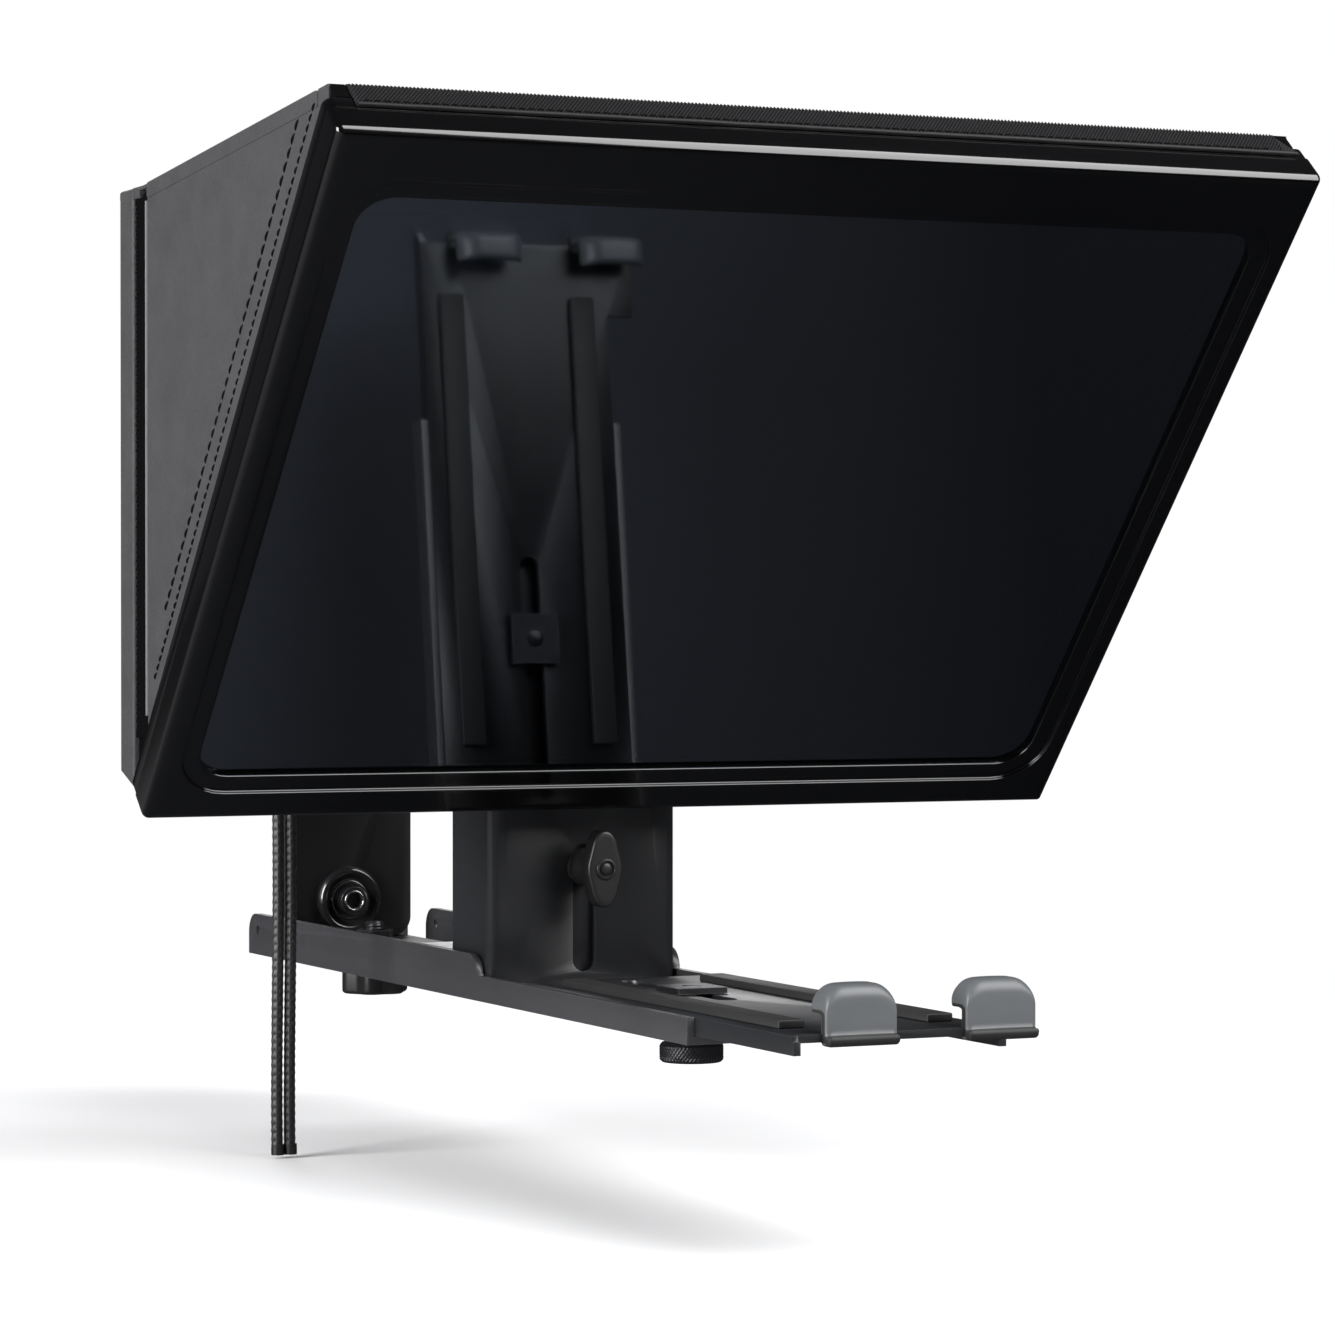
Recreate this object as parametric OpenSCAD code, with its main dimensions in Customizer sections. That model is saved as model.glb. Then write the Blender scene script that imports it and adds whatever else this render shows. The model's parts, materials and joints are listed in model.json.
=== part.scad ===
// Teleprompter. A folding leather hood holds a leaning beam-splitter glass over a tablet tray.
// Hood, tray and camera mount all ride on one folded-steel rail that a tripod carries.
//
// Millimetres, +Z up. The presenter is on the -Y side, the camera on the +Y side.
// The origin is the mouth of the quarter-inch tripod socket, on the underside of the rail.

/* [Tablet] */
// Depth of the tablet that the tray is set for
tablet_depth = 178.5; // [170:0.5:186]
// Thickness of the tablet
tablet_t = 6.1; // [5.5:0.1:6.5]

/* [Rail and tray] */
// Outside width of the rail
rail_w = 61; // [60:0.5:64]
// Distance from the tripod socket back to the rail's rear end
rail_rear = 141; // [138:1:150]
// Distance from the tripod socket forward to the rail's front end
rail_front = 178; // [172:1:184]
// Height of the rail's sides behind the column
rail_side_h = 12.5; // [11:0.5:14]
// Thickness of the folded steel sheet
sheet = 2; // [1.8:0.1:2]
// Distance between the centres of the two tablet hooks
hook_pitch = 37.5; // [34:0.5:40]
// Sideways shift of the hook pair from the centre line
hook_shift = 9; // [0:1:9]
// Width of one hook
hook_w = 19; // [16:1:22]
// How far the tray slides out
tray_out = 38; // [20:1:38]
// How far the tray slides in
tray_in = 20; // [10:1:20]

/* [Column] */
// Width of the hood column
column_w = 56; // [52:1:56]
// Front face of the column, measured back from the tripod socket (so it is in front)
column_front = 47; // [46.5:0.5:48]
// Depth of the column from front to back
column_d = 26.5; // [24:0.5:28]
// Height of the wing knob's axis
knob_z = 36; // [35:0.5:36]
// How far the hood can be raised
hood_lift = 25; // [15:1:25]

/* [Hood] */
// Outside width of the leather hood
hood_w = 260; // [254:1:262]
// Underside of the hood's back board
hood_low = 59.8; // [59:0.1:60.5]
// Top of the hood's back board
hood_high = 215.9; // [213:0.1:218]
// Rise of the hood's top towards the presenter, in degrees
top_slope = 4.6; // [4.5:0.1:6]
// Thickness of the padded leather panels
panel_t = 4; // [3.5:0.1:4]
// Radius of the lens opening
lens_r = 56; // [50:1:56]
// Height of the lens axis
lens_z = 134; // [134:1:138]

/* [Glass frame] */
// Outside width of the glass frame
frame_w = 265.4; // [264:0.2:268]
// Length of the glass frame along its slope
frame_l = 216.8; // [214:0.2:219]
// Thickness of the glass frame
frame_t = 13; // [12.5:0.1:13]
// Lean of the glass frame from upright, top towards the presenter
frame_tilt = 41.2; // [40.5:0.1:42]
// Width of the frame's border at the left and right
border_side = 11; // [10:0.5:13]
// Width of the frame's border at the top
border_top = 19; // [17:0.5:21]
// Width of the frame's border at the bottom
border_low = 14.5; // [13:0.5:16]

/* [Camera mount] */
// Height of the camera platform's top
platform_z = 80; // [76:1:84]
// Width of the upright plate
upright_w = 42; // [38:1:44]
// How far the camera carriage slides forward
carriage_travel = 50; // [30:1:50]
// How far the camera platform can be raised
platform_lift = 25; // [15:1:25]

/* [Hidden] */

$fn = 48;
eps = 0.01;
slip = 0.2;               // gap between two sheets that slide on each other
turn_gap = 0.05;          // radial gap of a shaft that turns in its hole
quarter_inch_r = 3.175;   // 1/4"-20 tripod thread
three_eighths_r = 4.7625; // 3/8"-16 tripod thread

// Colours
satin_black = [0.10, 0.10, 0.11];
gloss_black = [0.02, 0.02, 0.02];
leather_black = [0.13, 0.13, 0.13];
fabric_black = [0.08, 0.08, 0.08];
rubber_grey = [0.42, 0.44, 0.45];
rubber_black = [0.06, 0.06, 0.06];
steel = [0.62, 0.63, 0.65];
glass_tint = [0.35, 0.40, 0.45, 0.45];

// Tablet and tray levels
tray_low = sheet + slip;
tray_top = 6.8;
tray_plate_z = tray_top - sheet;
tablet_low = 8.9;
tablet_top = tablet_low + tablet_t;
tablet_back = -column_front - 0.5;
tablet_front = tablet_back - tablet_depth;
tray_half = rail_w / 2 - sheet - slip;
tray_side_t = 1.8;
tray_front = tablet_front - 5.6;
tray_rear = -column_front - tray_in - 1;
tray_screw_y = -116;
hook_core_top = tablet_top + 2.4;
hook_corner = 5;
hook_cover_side = 1.5;    // rubber beside a hook's steel core
tray_nose = 1.4;          // how far the tray's walls reach ahead of the hook covers
tray_nose_top = tray_plate_z + 0.6;
tray_screw_r = 2.5;

// Rail
rail_step_y = -44;
rail_front_side_h = tray_top;
block_y = [-14, 34];
block_w = 32;
block_h = 8;
coarse_socket_y = 20;
spigot_gap = 3.3;         // wall left around each tripod thread
tie_hole_r = 1.6;
tie_hole_in = 8;          // from the rail's rear end
tie_hole_down = 5;        // from the side's top edge

// Column
column_y = -column_front;
column_low = 2 * sheet + 0.6;
post_half = column_w / 2 - sheet - slip;
post_y = column_y + sheet + slip;
column_bend_r = 3;
post_high = 54;
post_d = 20;
stud_r = 3;
slot_r = stud_r + 0.3;
slot_spare = 3;           // slot left above the stud when the hood is all the way down
knob_y = column_y - slip - 1.2; // back of the wing knob, in front of its washer
knob_bore = 10;
wing_z = 58;              // underside of the wide plate that holds the hood
wing_h = 11;
wing_w = 120;
wing_root = 3;            // how far the wide plate and the column's front run into each other
bracket_screw_x = [-50, -20, 20, 50];
bracket_screw_z = wing_z + 6;

// Hood. The panels fold at fold_y, just in front of the back board's rim.
hood_y = column_y;
board_y = hood_y - panel_t;
fold_y = hood_y - 12.5;
fold_gap = 3;
fold_r = 2.4;
web_t = 1;
rim_y = fold_y + fold_gap;
panel_y = fold_y - fold_gap;
rim_low = 68;
rim_back = hood_y + 7;    // the rim's walls reach this far, behind the board
rim_cut = 4;              // how much higher the rim's rear lower corners are
side_mid = hood_w / 2 - panel_t / 2;
top_mid_z = hood_high - panel_t / 2;
panel_clear = 0.4;

// Glass frame. Its front lower edge is the frame's own origin.
frame_y = column_y - 19.9;
frame_z = 51.6;
frame_back_t = 4;
glass_t = 3;
glass_inset = 2.8;
glass_lap = 4;
lip_step = 1.2;
lip_w = 5;
corner_r = 9;
pivot_up = 6;
pivot_back = frame_t + 3;
hinge_x = 85;
hinge_w = 30;
knuckle_w = 11.6;
knuckle_r = 2.6;
hinge_pin_r = 1.2;
leaf_t = 1.2;
rivet_r = 1.5;
rivet_depth = 2;          // how deep a rivet sits beyond its leaf
rivet_head_r = 2.4;
rivet_head_h = 0.6;

// Lens sleeve and drawcord
ring_w = 8;
ring_t = 2.5;
ring_y = hood_y + 1;
ring_screw_r = 1.25;
sleeve_t = 1.5;
sleeve_end = 14;
cord_r = 1.5;
cord_loop_r = 62;
strand_x = [-65.8, -62.2];
strand_y = sleeve_end + 3.6;
cord_low = -44;
cord_lock_z = 84;
cord_lock_h = 20;

// Camera mount
leg_y = rail_rear - 6.2;
post_back_y = leg_y + sheet + slip;
riser_z = 16;
carriage_screw_y = leg_y - 23;
platform_front = 78;
platform_half = 28;
pad_t = 2;
slot_y = [92, 122];
camera_screw_y = 107;
retainer_t = 2.3;
camera_shank_r = 2.6;
camera_thread_gap = 0.5;  // between the pad and the camera screw's thread
camera_thread_h = 4.5;

// ---------------------------------------------------------------- shared shapes

// A rectangle centred on x, from the origin up, with round upper corners
module arch_plate(w, h, r) {
    translate([-w / 2, 0]) square([w, h - r]);
    translate([-w / 2 + r, 0]) square([w - 2 * r, h]);
    for (side = [-1, 1])
        translate([side * (w / 2 - r), h - r]) circle(r);
}

// A centred rectangle with four round corners
module round_rect(w, h, r) {
    square([w - 2 * r, h], center = true);
    square([w, h - 2 * r], center = true);
    for (side = [-1, 1], end = [-1, 1])
        translate([side * (w / 2 - r), end * (h / 2 - r)]) circle(r);
}

// A slot along y, from one end's centre to the other's
module slot(r, ends, z0, h) {
    translate([-r, ends[0], z0]) cube([2 * r, ends[1] - ends[0], h]);
    for (y = ends)
        translate([0, y, z0]) cylinder(r = r, h = h);
}

// A folded channel's outline in x and y: front wall on y = 0, sides running back
module channel_outline(w, d, t, bend_r) {
    inner_w = w - 2 * t;
    difference() {
        union() {
            translate([-w / 2, bend_r]) square([w, d - bend_r]);
            translate([-w / 2 + bend_r, 0]) square([w - 2 * bend_r, d]);
            for (side = [-1, 1])
                translate([side * (w / 2 - bend_r), bend_r]) circle(bend_r);
        }
        translate([-inner_w / 2, t]) square([inner_w, d]);
    }
}

// A cylinder along y, from y0 backwards
module rod_y(r, y0, length) {
    translate([0, y0 + length, 0]) rotate([90, 0, 0]) cylinder(r = r, h = length);
}

// A round grip with straight knurls, standing on z = 0
module knurled_grip(r, h, teeth, depth) {
    linear_extrude(h) polygon([
        for (i = [0 : 2 * teeth - 1])
            let (a = i * 180 / teeth, rr = i % 2 == 0 ? r : r - depth) [rr * cos(a), rr * sin(a)]
    ]);
}

// A countersunk screw pointing up, its head flush with z = 0
module flat_screw(r, length) {
    head_r = 2 * r;
    difference() {
        union() {
            cylinder(r1 = head_r, r2 = r, h = sheet);
            cylinder(r = r, h = length);
        }
        translate([0, 0, -eps]) cylinder(r = r * 0.7, h = sheet * 0.6, $fn = 6);
    }
}

// The room that a countersunk screw takes
module flat_screw_hole(r, length) {
    cylinder(r1 = 2 * r, r2 = r, h = sheet);
    cylinder(r = r, h = length);
}

// A low round-headed screw that enters towards -y, its head's seat on y = 0
module dome_screw(r, head_r, head_h, length) {
    difference() {
        union() {
            rod_y(r, -length, length + eps);
            rod_y(head_r, 0, head_h);
        }
        rotate([-90, 0, 0]) translate([0, 0, head_h * 0.4])
            cylinder(r = head_r * 0.45, h = head_h, $fn = 6);
    }
}

// Puts children into the glass frame's place. Local y runs up the slope from the front lower
// edge, and local z points out of the front face.
module in_frame() {
    translate([0, frame_y, frame_z]) rotate([90 + frame_tilt, 0, 0]) children();
}

// A point in the row's y and z, from its depth behind the frame's front face and its height up the slope
function slope_point(back, up) = [
    frame_y + back * cos(frame_tilt) - up * sin(frame_tilt),
    frame_z + back * sin(frame_tilt) + up * cos(frame_tilt)
];

// Height of the hood's outer top surface at y
function roof_z(y) = hood_high + (fold_y - y) * tan(top_slope);

// Turns an outline drawn in y and z into a slab across x
module across(x0, width) {
    translate([x0, 0, 0]) rotate([90, 0, 90]) linear_extrude(width) children();
}

// ---------------------------------------------------------------- base

module tray_screw_hole() {
    translate([0, tray_screw_y, -eps]) cylinder(r = tray_screw_r + turn_gap, h = sheet + 2 * eps);
}

module rail_side() {
    corner = 6;
    across(0, sheet) {
        translate([-rail_front, 0]) square([rail_front + rail_rear, rail_front_side_h]);
        translate([rail_step_y, 0]) square([rail_rear - rail_step_y, rail_side_h - corner]);
        translate([rail_step_y + corner, 0]) square([rail_rear - rail_step_y - 2 * corner, rail_side_h]);
        for (y = [rail_step_y + corner, rail_rear - corner])
            translate([y, rail_side_h - corner]) circle(corner);
    }
}

module base_rail() {
    color(satin_black) difference() {
        union() {
            translate([-rail_w / 2, -rail_front, 0]) cube([rail_w, rail_front + rail_rear, sheet]);
            translate([-rail_w / 2, 0, 0]) rail_side();
            translate([rail_w / 2 - sheet, 0, 0]) rail_side();
        }
        tray_screw_hole();
        slot(slot_r, [carriage_screw_y - carriage_travel - 1, carriage_screw_y + 1], -eps, sheet + 2 * eps);
        translate([0, 0, -eps]) cylinder(r = quarter_inch_r + spigot_gap, h = sheet + 2 * eps);
        translate([0, coarse_socket_y, -eps]) cylinder(r = three_eighths_r + spigot_gap, h = sheet + 2 * eps);
        at_block_screws() flat_screw_hole(2, sheet + eps);
        at_post_screws() flat_screw_hole(2, sheet + eps);
        // tie hole in each rear corner
        translate([-rail_w, rail_rear - tie_hole_in, rail_side_h - tie_hole_down]) rotate([0, 90, 0])
            cylinder(r = tie_hole_r, h = 2 * rail_w);
    }
}

module at_block_screws() {
    for (x = [-12, 12], y = [block_y[0] + 4.5, block_y[1] - 4.5])
        translate([x, y, 0]) children();
}

module at_post_screws() {
    for (x = [-14, 14])
        translate([x, post_y + 12, 0]) children();
}

module tripod_block() {
    color(steel) difference() {
        union() {
            translate([-block_w / 2, block_y[0], sheet]) cube([block_w, block_y[1] - block_y[0], block_h]);
            cylinder(r = quarter_inch_r + spigot_gap, h = sheet + eps);
            translate([0, coarse_socket_y, 0]) cylinder(r = three_eighths_r + spigot_gap, h = sheet + eps);
        }
        translate([0, 0, -eps]) cylinder(r = quarter_inch_r, h = sheet + block_h + 2 * eps);
        translate([0, coarse_socket_y, -eps]) cylinder(r = three_eighths_r, h = sheet + block_h + 2 * eps);
        at_block_screws() translate([0, 0, sheet - eps]) cylinder(r = 2, h = 6 + eps);
    }
}

module block_screws() {
    color(steel) at_block_screws() flat_screw(2, sheet + 6);
}

module inner_post() {
    foot_h = sheet;
    color(satin_black) difference() {
        union() {
            translate([0, post_y, sheet]) linear_extrude(post_high - sheet)
                channel_outline(2 * post_half, post_d, sheet, 2.5);
            translate([-post_half + sheet / 2, post_y + sheet / 2, sheet])
                cube([2 * post_half - sheet, post_d - sheet / 2, foot_h]);
        }
        translate([0, 0, knob_z]) rod_y(stud_r + turn_gap, post_y - 1, sheet + 2);
        at_post_screws() translate([0, 0, sheet - eps]) cylinder(r = 2, h = foot_h + 1);
    }
}

module post_screws() {
    color(steel) at_post_screws() flat_screw(2, 2 * sheet);
}

module post_nut() {
    nut_h = 5;
    color(steel) translate([0, 0, knob_z]) difference() {
        translate([0, post_y + sheet + nut_h, 0]) rotate([90, 0, 0]) cylinder(r = 6, h = nut_h, $fn = 6);
        rod_y(stud_r + turn_gap, post_y, nut_h + 2 * sheet);
    }
}

module tray_nut() {
    color(steel) difference() {
        translate([-7, tray_screw_y - 7, tray_top + slip]) cube([14, 14, 1.6]);
        translate([0, tray_screw_y, tray_top]) cylinder(r = tray_screw_r + turn_gap, h = 3);
    }
}

// ---------------------------------------------------------------- tray

function hook_x(i) = hook_shift + (i - 0.5) * hook_pitch;

// Outline of a hook's steel core in y and z, grown by g on every side
module hook_outline(g) {
    core_y = tablet_front - 2;
    core_t = 1.2;
    translate([core_y - core_t - g, tray_plate_z - g])
        square([core_t + 2 * g, hook_core_top - tray_plate_z + 2 * g]);
    translate([core_y - core_t - g, hook_core_top - core_t - g]) square([6 + 2 * g, core_t + 2 * g]);
}

// A hook's steel core, with rounded upper corners
module hook_core(i) {
    core_w = hook_w - 2 * hook_cover_side;
    intersection() {
        across(hook_x(i) - core_w / 2, core_w) hook_outline(0);
        translate([hook_x(i), tablet_front + 12, tray_plate_z]) rotate([90, 0, 0])
            linear_extrude(24) arch_plate(core_w, hook_core_top - tray_plate_z, hook_corner - hook_cover_side);
    }
}

// The tray's two side walls, grown by g on every side
module tray_sides(g) {
    for (x = [-tray_half, tray_half - tray_side_t])
        translate([x - g, tray_front - g, tray_low - g])
            cube([tray_side_t + 2 * g, tray_rear - tray_front + 2 * g, tray_top - tray_low - eps + 2 * g]);
}

module tray_channel() {
    strip_x = [hook_x(0) - hook_w / 2 + 1, hook_x(1) + hook_w / 2 - 1];
    color(satin_black) difference() {
        union() {
            translate([-tray_half, tray_front + 3, tray_plate_z])
                cube([2 * tray_half, tray_rear - tray_front - 3, sheet]);
            translate([strip_x[0], tablet_front - 3.2, tray_plate_z])
                cube([strip_x[1] - strip_x[0], 20, sheet]);
            tray_sides(0);
            for (i = [0, 1]) hook_core(i);
        }
        slot(tray_screw_r + 0.4, [tray_screw_y - tray_in - 0.5, tray_screw_y + tray_out + 0.5],
            tray_plate_z - 1, sheet + 2);
        // the walls' noses are low enough to hide behind the foot of the hook covers
        translate([-tray_half - 1, tray_front - 1, tray_nose_top])
            cube([2 * tray_half + 2, 1 + tray_nose, sheet]);
    }
}

module tray_pads() {
    color(rubber_black) for (x = [-1, 1])
        translate([x * 20 - 3.5, tablet_front + 12, tray_top]) cube([7, 128, tablet_low - tray_top]);
}

module hook_covers() {
    grow = 1;
    low = tray_plate_z - grow;
    high = hook_core_top + grow;
    color(rubber_grey) for (i = [0, 1]) difference() {
        intersection() {
            across(hook_x(i) - hook_w / 2, hook_w) hook_outline(grow);
            translate([hook_x(i), tablet_front + 12, low]) rotate([90, 0, 0])
                linear_extrude(24) arch_plate(hook_w, high - low, hook_corner);
        }
        hook_core(i);
        // the steel tab enters from behind
        translate([hook_x(i) - hook_w / 2 - eps, tablet_front - 3.2, tray_plate_z])
            cube([hook_w + 2 * eps, 20, sheet]);
        tray_sides(slip);
    }
}

module tray_knob() {
    grip_z = -11;
    grip_h = 5;
    color(satin_black) translate([0, tray_screw_y, 0]) {
        translate([0, 0, grip_z]) knurled_grip(8.4, grip_h, 30, 0.5);
        translate([0, 0, grip_z + grip_h - eps]) cylinder(r = 4, h = -grip_z - grip_h - slip + eps);
        translate([0, 0, -slip - eps]) cylinder(r = tray_screw_r, h = tray_top + 1.9);
    }
}

// ---------------------------------------------------------------- hood column

module at_bracket_screws() {
    for (x = bracket_screw_x)
        translate([x, 0, bracket_screw_z]) children();
}

module hood_bracket() {
    color(satin_black) difference() {
        union() {
            translate([0, column_y, column_low]) linear_extrude(wing_z - column_low)
                channel_outline(column_w, column_d, sheet, column_bend_r);
            translate([0, column_y + sheet, wing_z]) rotate([90, 0, 0])
                linear_extrude(sheet) arch_plate(wing_w, wing_h, 4);
            translate([-column_w / 2 + column_bend_r, column_y, wing_z - wing_root])
                cube([column_w - 2 * column_bend_r, sheet, 2 * wing_root]);
        }
        translate([0, column_y + sheet + eps, 0]) rotate([90, 0, 0])
            slot(slot_r, [knob_z - hood_lift - 0.5, knob_z + slot_spare], 0, sheet + 2 * eps);
        at_bracket_screws() rod_y(1.5, column_y - 1, sheet + 2);
    }
}

module bracket_screws() {
    color(steel) at_bracket_screws() translate([0, column_y + sheet, 0]) dome_screw(1.5, 2.8, 1.7, sheet + 3);
}

module wing_knob() {
    hub_r = 4;
    hub_l = 7.5;
    wing_l = 6;
    half_w = 5.1;
    half_h = 10.5;
    cap_r = 2.9;
    cap_h = 0.7;
    color(rubber_black) translate([0, 0, knob_z]) difference() {
        union() {
            rod_y(hub_r, knob_y - hub_l, hub_l);
            translate([0, knob_y - hub_l + eps, 0]) rotate([90, 0, 0]) linear_extrude(wing_l)
                polygon([for (i = [0 : 71]) [half_w * cos(i * 5), half_h * sin(i * 5)]]);
            rod_y(cap_r, knob_y - hub_l - wing_l - cap_h, cap_h + eps);
        }
        rod_y(stud_r, knob_y - knob_bore, knob_bore + eps);
    }
}

module knob_stud() {
    stud_front = knob_y - knob_bore;
    color(steel) translate([0, 0, knob_z]) rod_y(stud_r, stud_front, post_y + sheet + 4 - stud_front);
}

module knob_washer() {
    washer_r = 5;
    washer_t = 1;
    color(steel) translate([0, 0, knob_z]) difference() {
        rod_y(washer_r, column_y - slip / 2 - washer_t, washer_t);
        rod_y(stud_r, column_y - 4, 6);
    }
}

// ---------------------------------------------------------------- hood

module at_ring_screws() {
    for (i = [0 : 5])
        translate([(lens_r + ring_w / 2) * cos(i * 60), 0, lens_z + (lens_r + ring_w / 2) * sin(i * 60)])
            children();
}

// Outline of the rim's sides in y and z. In front of the board they stop above the glass frame's hinges.
module rim_outline() {
    polygon([
        [rim_y, rim_low],
        [board_y, rim_low],
        [board_y, hood_low],
        [rim_back, hood_low + rim_cut],
        [rim_back, hood_high],
        [rim_y, hood_high]
    ]);
}

module hood_back() {
    color(leather_black) difference() {
        union() {
            translate([-hood_w / 2, board_y, hood_low]) cube([hood_w, panel_t, hood_high - hood_low]);
            for (x = [-hood_w / 2, hood_w / 2 - panel_t])
                across(x, panel_t) rim_outline();
            translate([-hood_w / 2, rim_y, hood_high - panel_t])
                cube([hood_w, rim_back - rim_y, panel_t]);
        }
        translate([0, 0, lens_z]) rod_y(lens_r, board_y - 1, panel_t + 2);
        at_bracket_screws() rod_y(1.5, hood_y - 3, 4);
        at_ring_screws() rod_y(ring_screw_r, hood_y - 3, 4);
        at_hood_rivets() rod_y(rivet_r, board_y - eps, rivet_depth + eps);
    }
}

// The soft folds that the panels swing on, each a round bead with a web glued inside the rim
module fold_strips() {
    side_low = rim_low + 3;
    side_h = top_mid_z - 6 - side_low;
    top_half = hood_w / 2 - 8;
    web_l = board_y - fold_y - 1;
    color(fabric_black) {
        for (side = [-1, 1]) {
            translate([side * side_mid, fold_y, side_low]) cylinder(r = fold_r, h = side_h);
            translate([side * (side_mid - panel_t / 2 - web_t / 2) - web_t / 2, fold_y, side_low])
                cube([web_t, web_l, side_h]);
        }
        translate([-top_half, fold_y, top_mid_z]) rotate([0, 90, 0]) cylinder(r = fold_r, h = 2 * top_half);
        translate([-top_half, fold_y, hood_high - panel_t - web_t])
            cube([2 * top_half, web_l, web_t]);
    }
}

module sleeve_ring() {
    color(satin_black) difference() {
        translate([0, 0, lens_z]) rod_y(lens_r + ring_w, ring_y, ring_t);
        translate([0, 0, lens_z]) rod_y(lens_r, ring_y - 1, ring_t + 2);
        at_ring_screws() rod_y(ring_screw_r, ring_y - 1, ring_t + 2);
    }
}

module ring_screws() {
    color(steel) at_ring_screws() translate([0, ring_y + ring_t, 0])
        dome_screw(ring_screw_r, 2.4, 1.4, ring_t + 4);
}

module lens_sleeve() {
    bulge = 4.5;
    color(fabric_black) difference() {
        translate([0, hood_y, lens_z]) rotate([-90, 0, 0]) rotate_extrude($fn = 72) polygon([
            [lens_r - 1.5, 0],
            [lens_r + ring_w, 0],
            [lens_r + ring_w, 1],
            [lens_r - 0.2, 1],
            [lens_r - 0.2, ring_t + 1.5],
            [lens_r + bulge, ring_t + 9],
            [lens_r + bulge, sleeve_end - hood_y - 4],
            [lens_r + bulge - 1, sleeve_end - hood_y],
            [lens_r + bulge - 1 - sleeve_t, sleeve_end - hood_y],
            [lens_r + bulge - sleeve_t, sleeve_end - hood_y - 4],
            [lens_r + bulge - sleeve_t, ring_t + 9.5],
            [lens_r - 0.2 - sleeve_t, ring_t + 2]
        ]);
        at_ring_screws() rod_y(ring_screw_r, hood_y - 1, 4);
    }
}

module drawcord() {
    strand_top = lens_z - 6;
    mid_x = (strand_x[0] + strand_x[1]) / 2;
    color(fabric_black) {
        translate([0, sleeve_end - 2, lens_z]) rotate([90, 0, 0])
            rotate_extrude($fn = 72) translate([cord_loop_r, 0]) circle(cord_r, $fn = 24);
        for (x = strand_x)
            translate([x, strand_y, cord_low]) {
                cylinder(r = cord_r, h = strand_top - cord_low, $fn = 24);
                translate([0, 0, -3]) cylinder(r = cord_r + 0.2, h = 4, $fn = 24);
            }
        translate([mid_x, strand_y, strand_top]) rotate([90, 0, 0])
            rotate_extrude(angle = 180, $fn = 48) translate([(strand_x[1] - strand_x[0]) / 2, 0])
                circle(cord_r, $fn = 24);
    }
}

module cord_lock() {
    mid_x = (strand_x[0] + strand_x[1]) / 2;
    color(rubber_black) difference() {
        translate([mid_x, strand_y, cord_lock_z]) cylinder(r = 6.5, h = cord_lock_h);
        for (x = strand_x)
            translate([x, strand_y, cord_lock_z - 1]) cylinder(r = cord_r + turn_gap, h = cord_lock_h + 2);
        lock_button_room(turn_gap, 1);
    }
}

// The button is a pin that slides across the cord lock, in front of the cords
module lock_button_room(g, over) {
    mid_x = (strand_x[0] + strand_x[1]) / 2;
    translate([mid_x, strand_y - 3.9, cord_lock_z + cord_lock_h - 8]) cylinder(r = 1.8 + g, h = 8 + over);
}

module lock_button() {
    mid_x = (strand_x[0] + strand_x[1]) / 2;
    travel = 3;
    color(rubber_black) translate([mid_x, strand_y - 3.9, cord_lock_z + cord_lock_h - 8 + travel])
        cylinder(r = 1.8, h = 8);
}

// Where the roof's outer surface meets the plane of the frame's upper end
function roof_front() =
    let (
        start = slope_point(0, frame_l),
        back = (roof_z(start[0]) - start[1]) / (sin(frame_tilt) + cos(frame_tilt) * tan(top_slope))
    ) slope_point(back, frame_l);

hem_back = frame_t + panel_clear; // from the glass frame's face to the hood's front edges
hem_y = roof_front()[0] + 7;      // the roof panel ends here and the hem begins

// Outline of a side panel in y and z. Its front edge lies along the back of the glass frame.
module side_outline() {
    foot_up = (frame_y + hem_back * cos(frame_tilt) - panel_y) / sin(frame_tilt);
    roof_under = panel_t + panel_clear;
    step_y = hem_y - panel_clear;
    polygon([
        slope_point(hem_back, foot_up),
        [panel_y, roof_z(panel_y) - roof_under],
        [step_y, roof_z(step_y) - roof_under],
        [step_y, roof_z(step_y)],
        roof_front(),
        slope_point(hem_back, frame_l)
    ]);
}

module side_panel_left() {
    color(leather_black) across(-hood_w / 2, panel_t) side_outline();
}

module side_panel_right() {
    color(leather_black) across(hood_w / 2 - panel_t, panel_t) side_outline();
}

module top_panel() {
    color(leather_black) across(-hood_w / 2, hood_w) polygon([
        [panel_y, roof_z(panel_y) - panel_t],
        [panel_y, roof_z(panel_y)],
        [hem_y, roof_z(hem_y)],
        [hem_y, roof_z(hem_y) - panel_t]
    ]);
}

module top_hem() {
    half = hood_w / 2 - panel_t - panel_clear;
    hem_foot = slope_point(hem_back, frame_l - 12);
    color(fabric_black) across(-half, 2 * half) polygon([
        slope_point(hem_back, frame_l),
        roof_front(),
        [hem_y, roof_z(hem_y)],
        [hem_y, hem_foot[1]],
        hem_foot
    ]);
}

// ---------------------------------------------------------------- glass frame

// The frame's opening, grown by g on every side
module opening(g) {
    w = frame_w - 2 * border_side + 2 * g;
    l = frame_l - border_low - border_top + 2 * g;
    translate([0, border_low - g + l / 2]) round_rect(w, l, corner_r + g);
}

module frame_outline() {
    translate([0, frame_l / 2]) round_rect(frame_w, frame_l, 2.5);
}

module at_frame_screws() {
    edge = 3.4;
    x_side = frame_w / 2 - edge;
    for (x = [-x_side, x_side], y = [12, 85, 135, frame_l - 12])
        translate([x, y, -frame_t]) children();
    for (x = [-45, 45], y = [edge, frame_l - edge])
        translate([x, y, -frame_t]) children();
}

module at_magnets() {
    for (x = [-side_mid, side_mid], y = [55, 110, 165])
        translate([x, y, -frame_t]) children();
    for (x = [-80, 0, 80])
        translate([x, frame_l - 8, -frame_t]) children();
}

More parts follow.
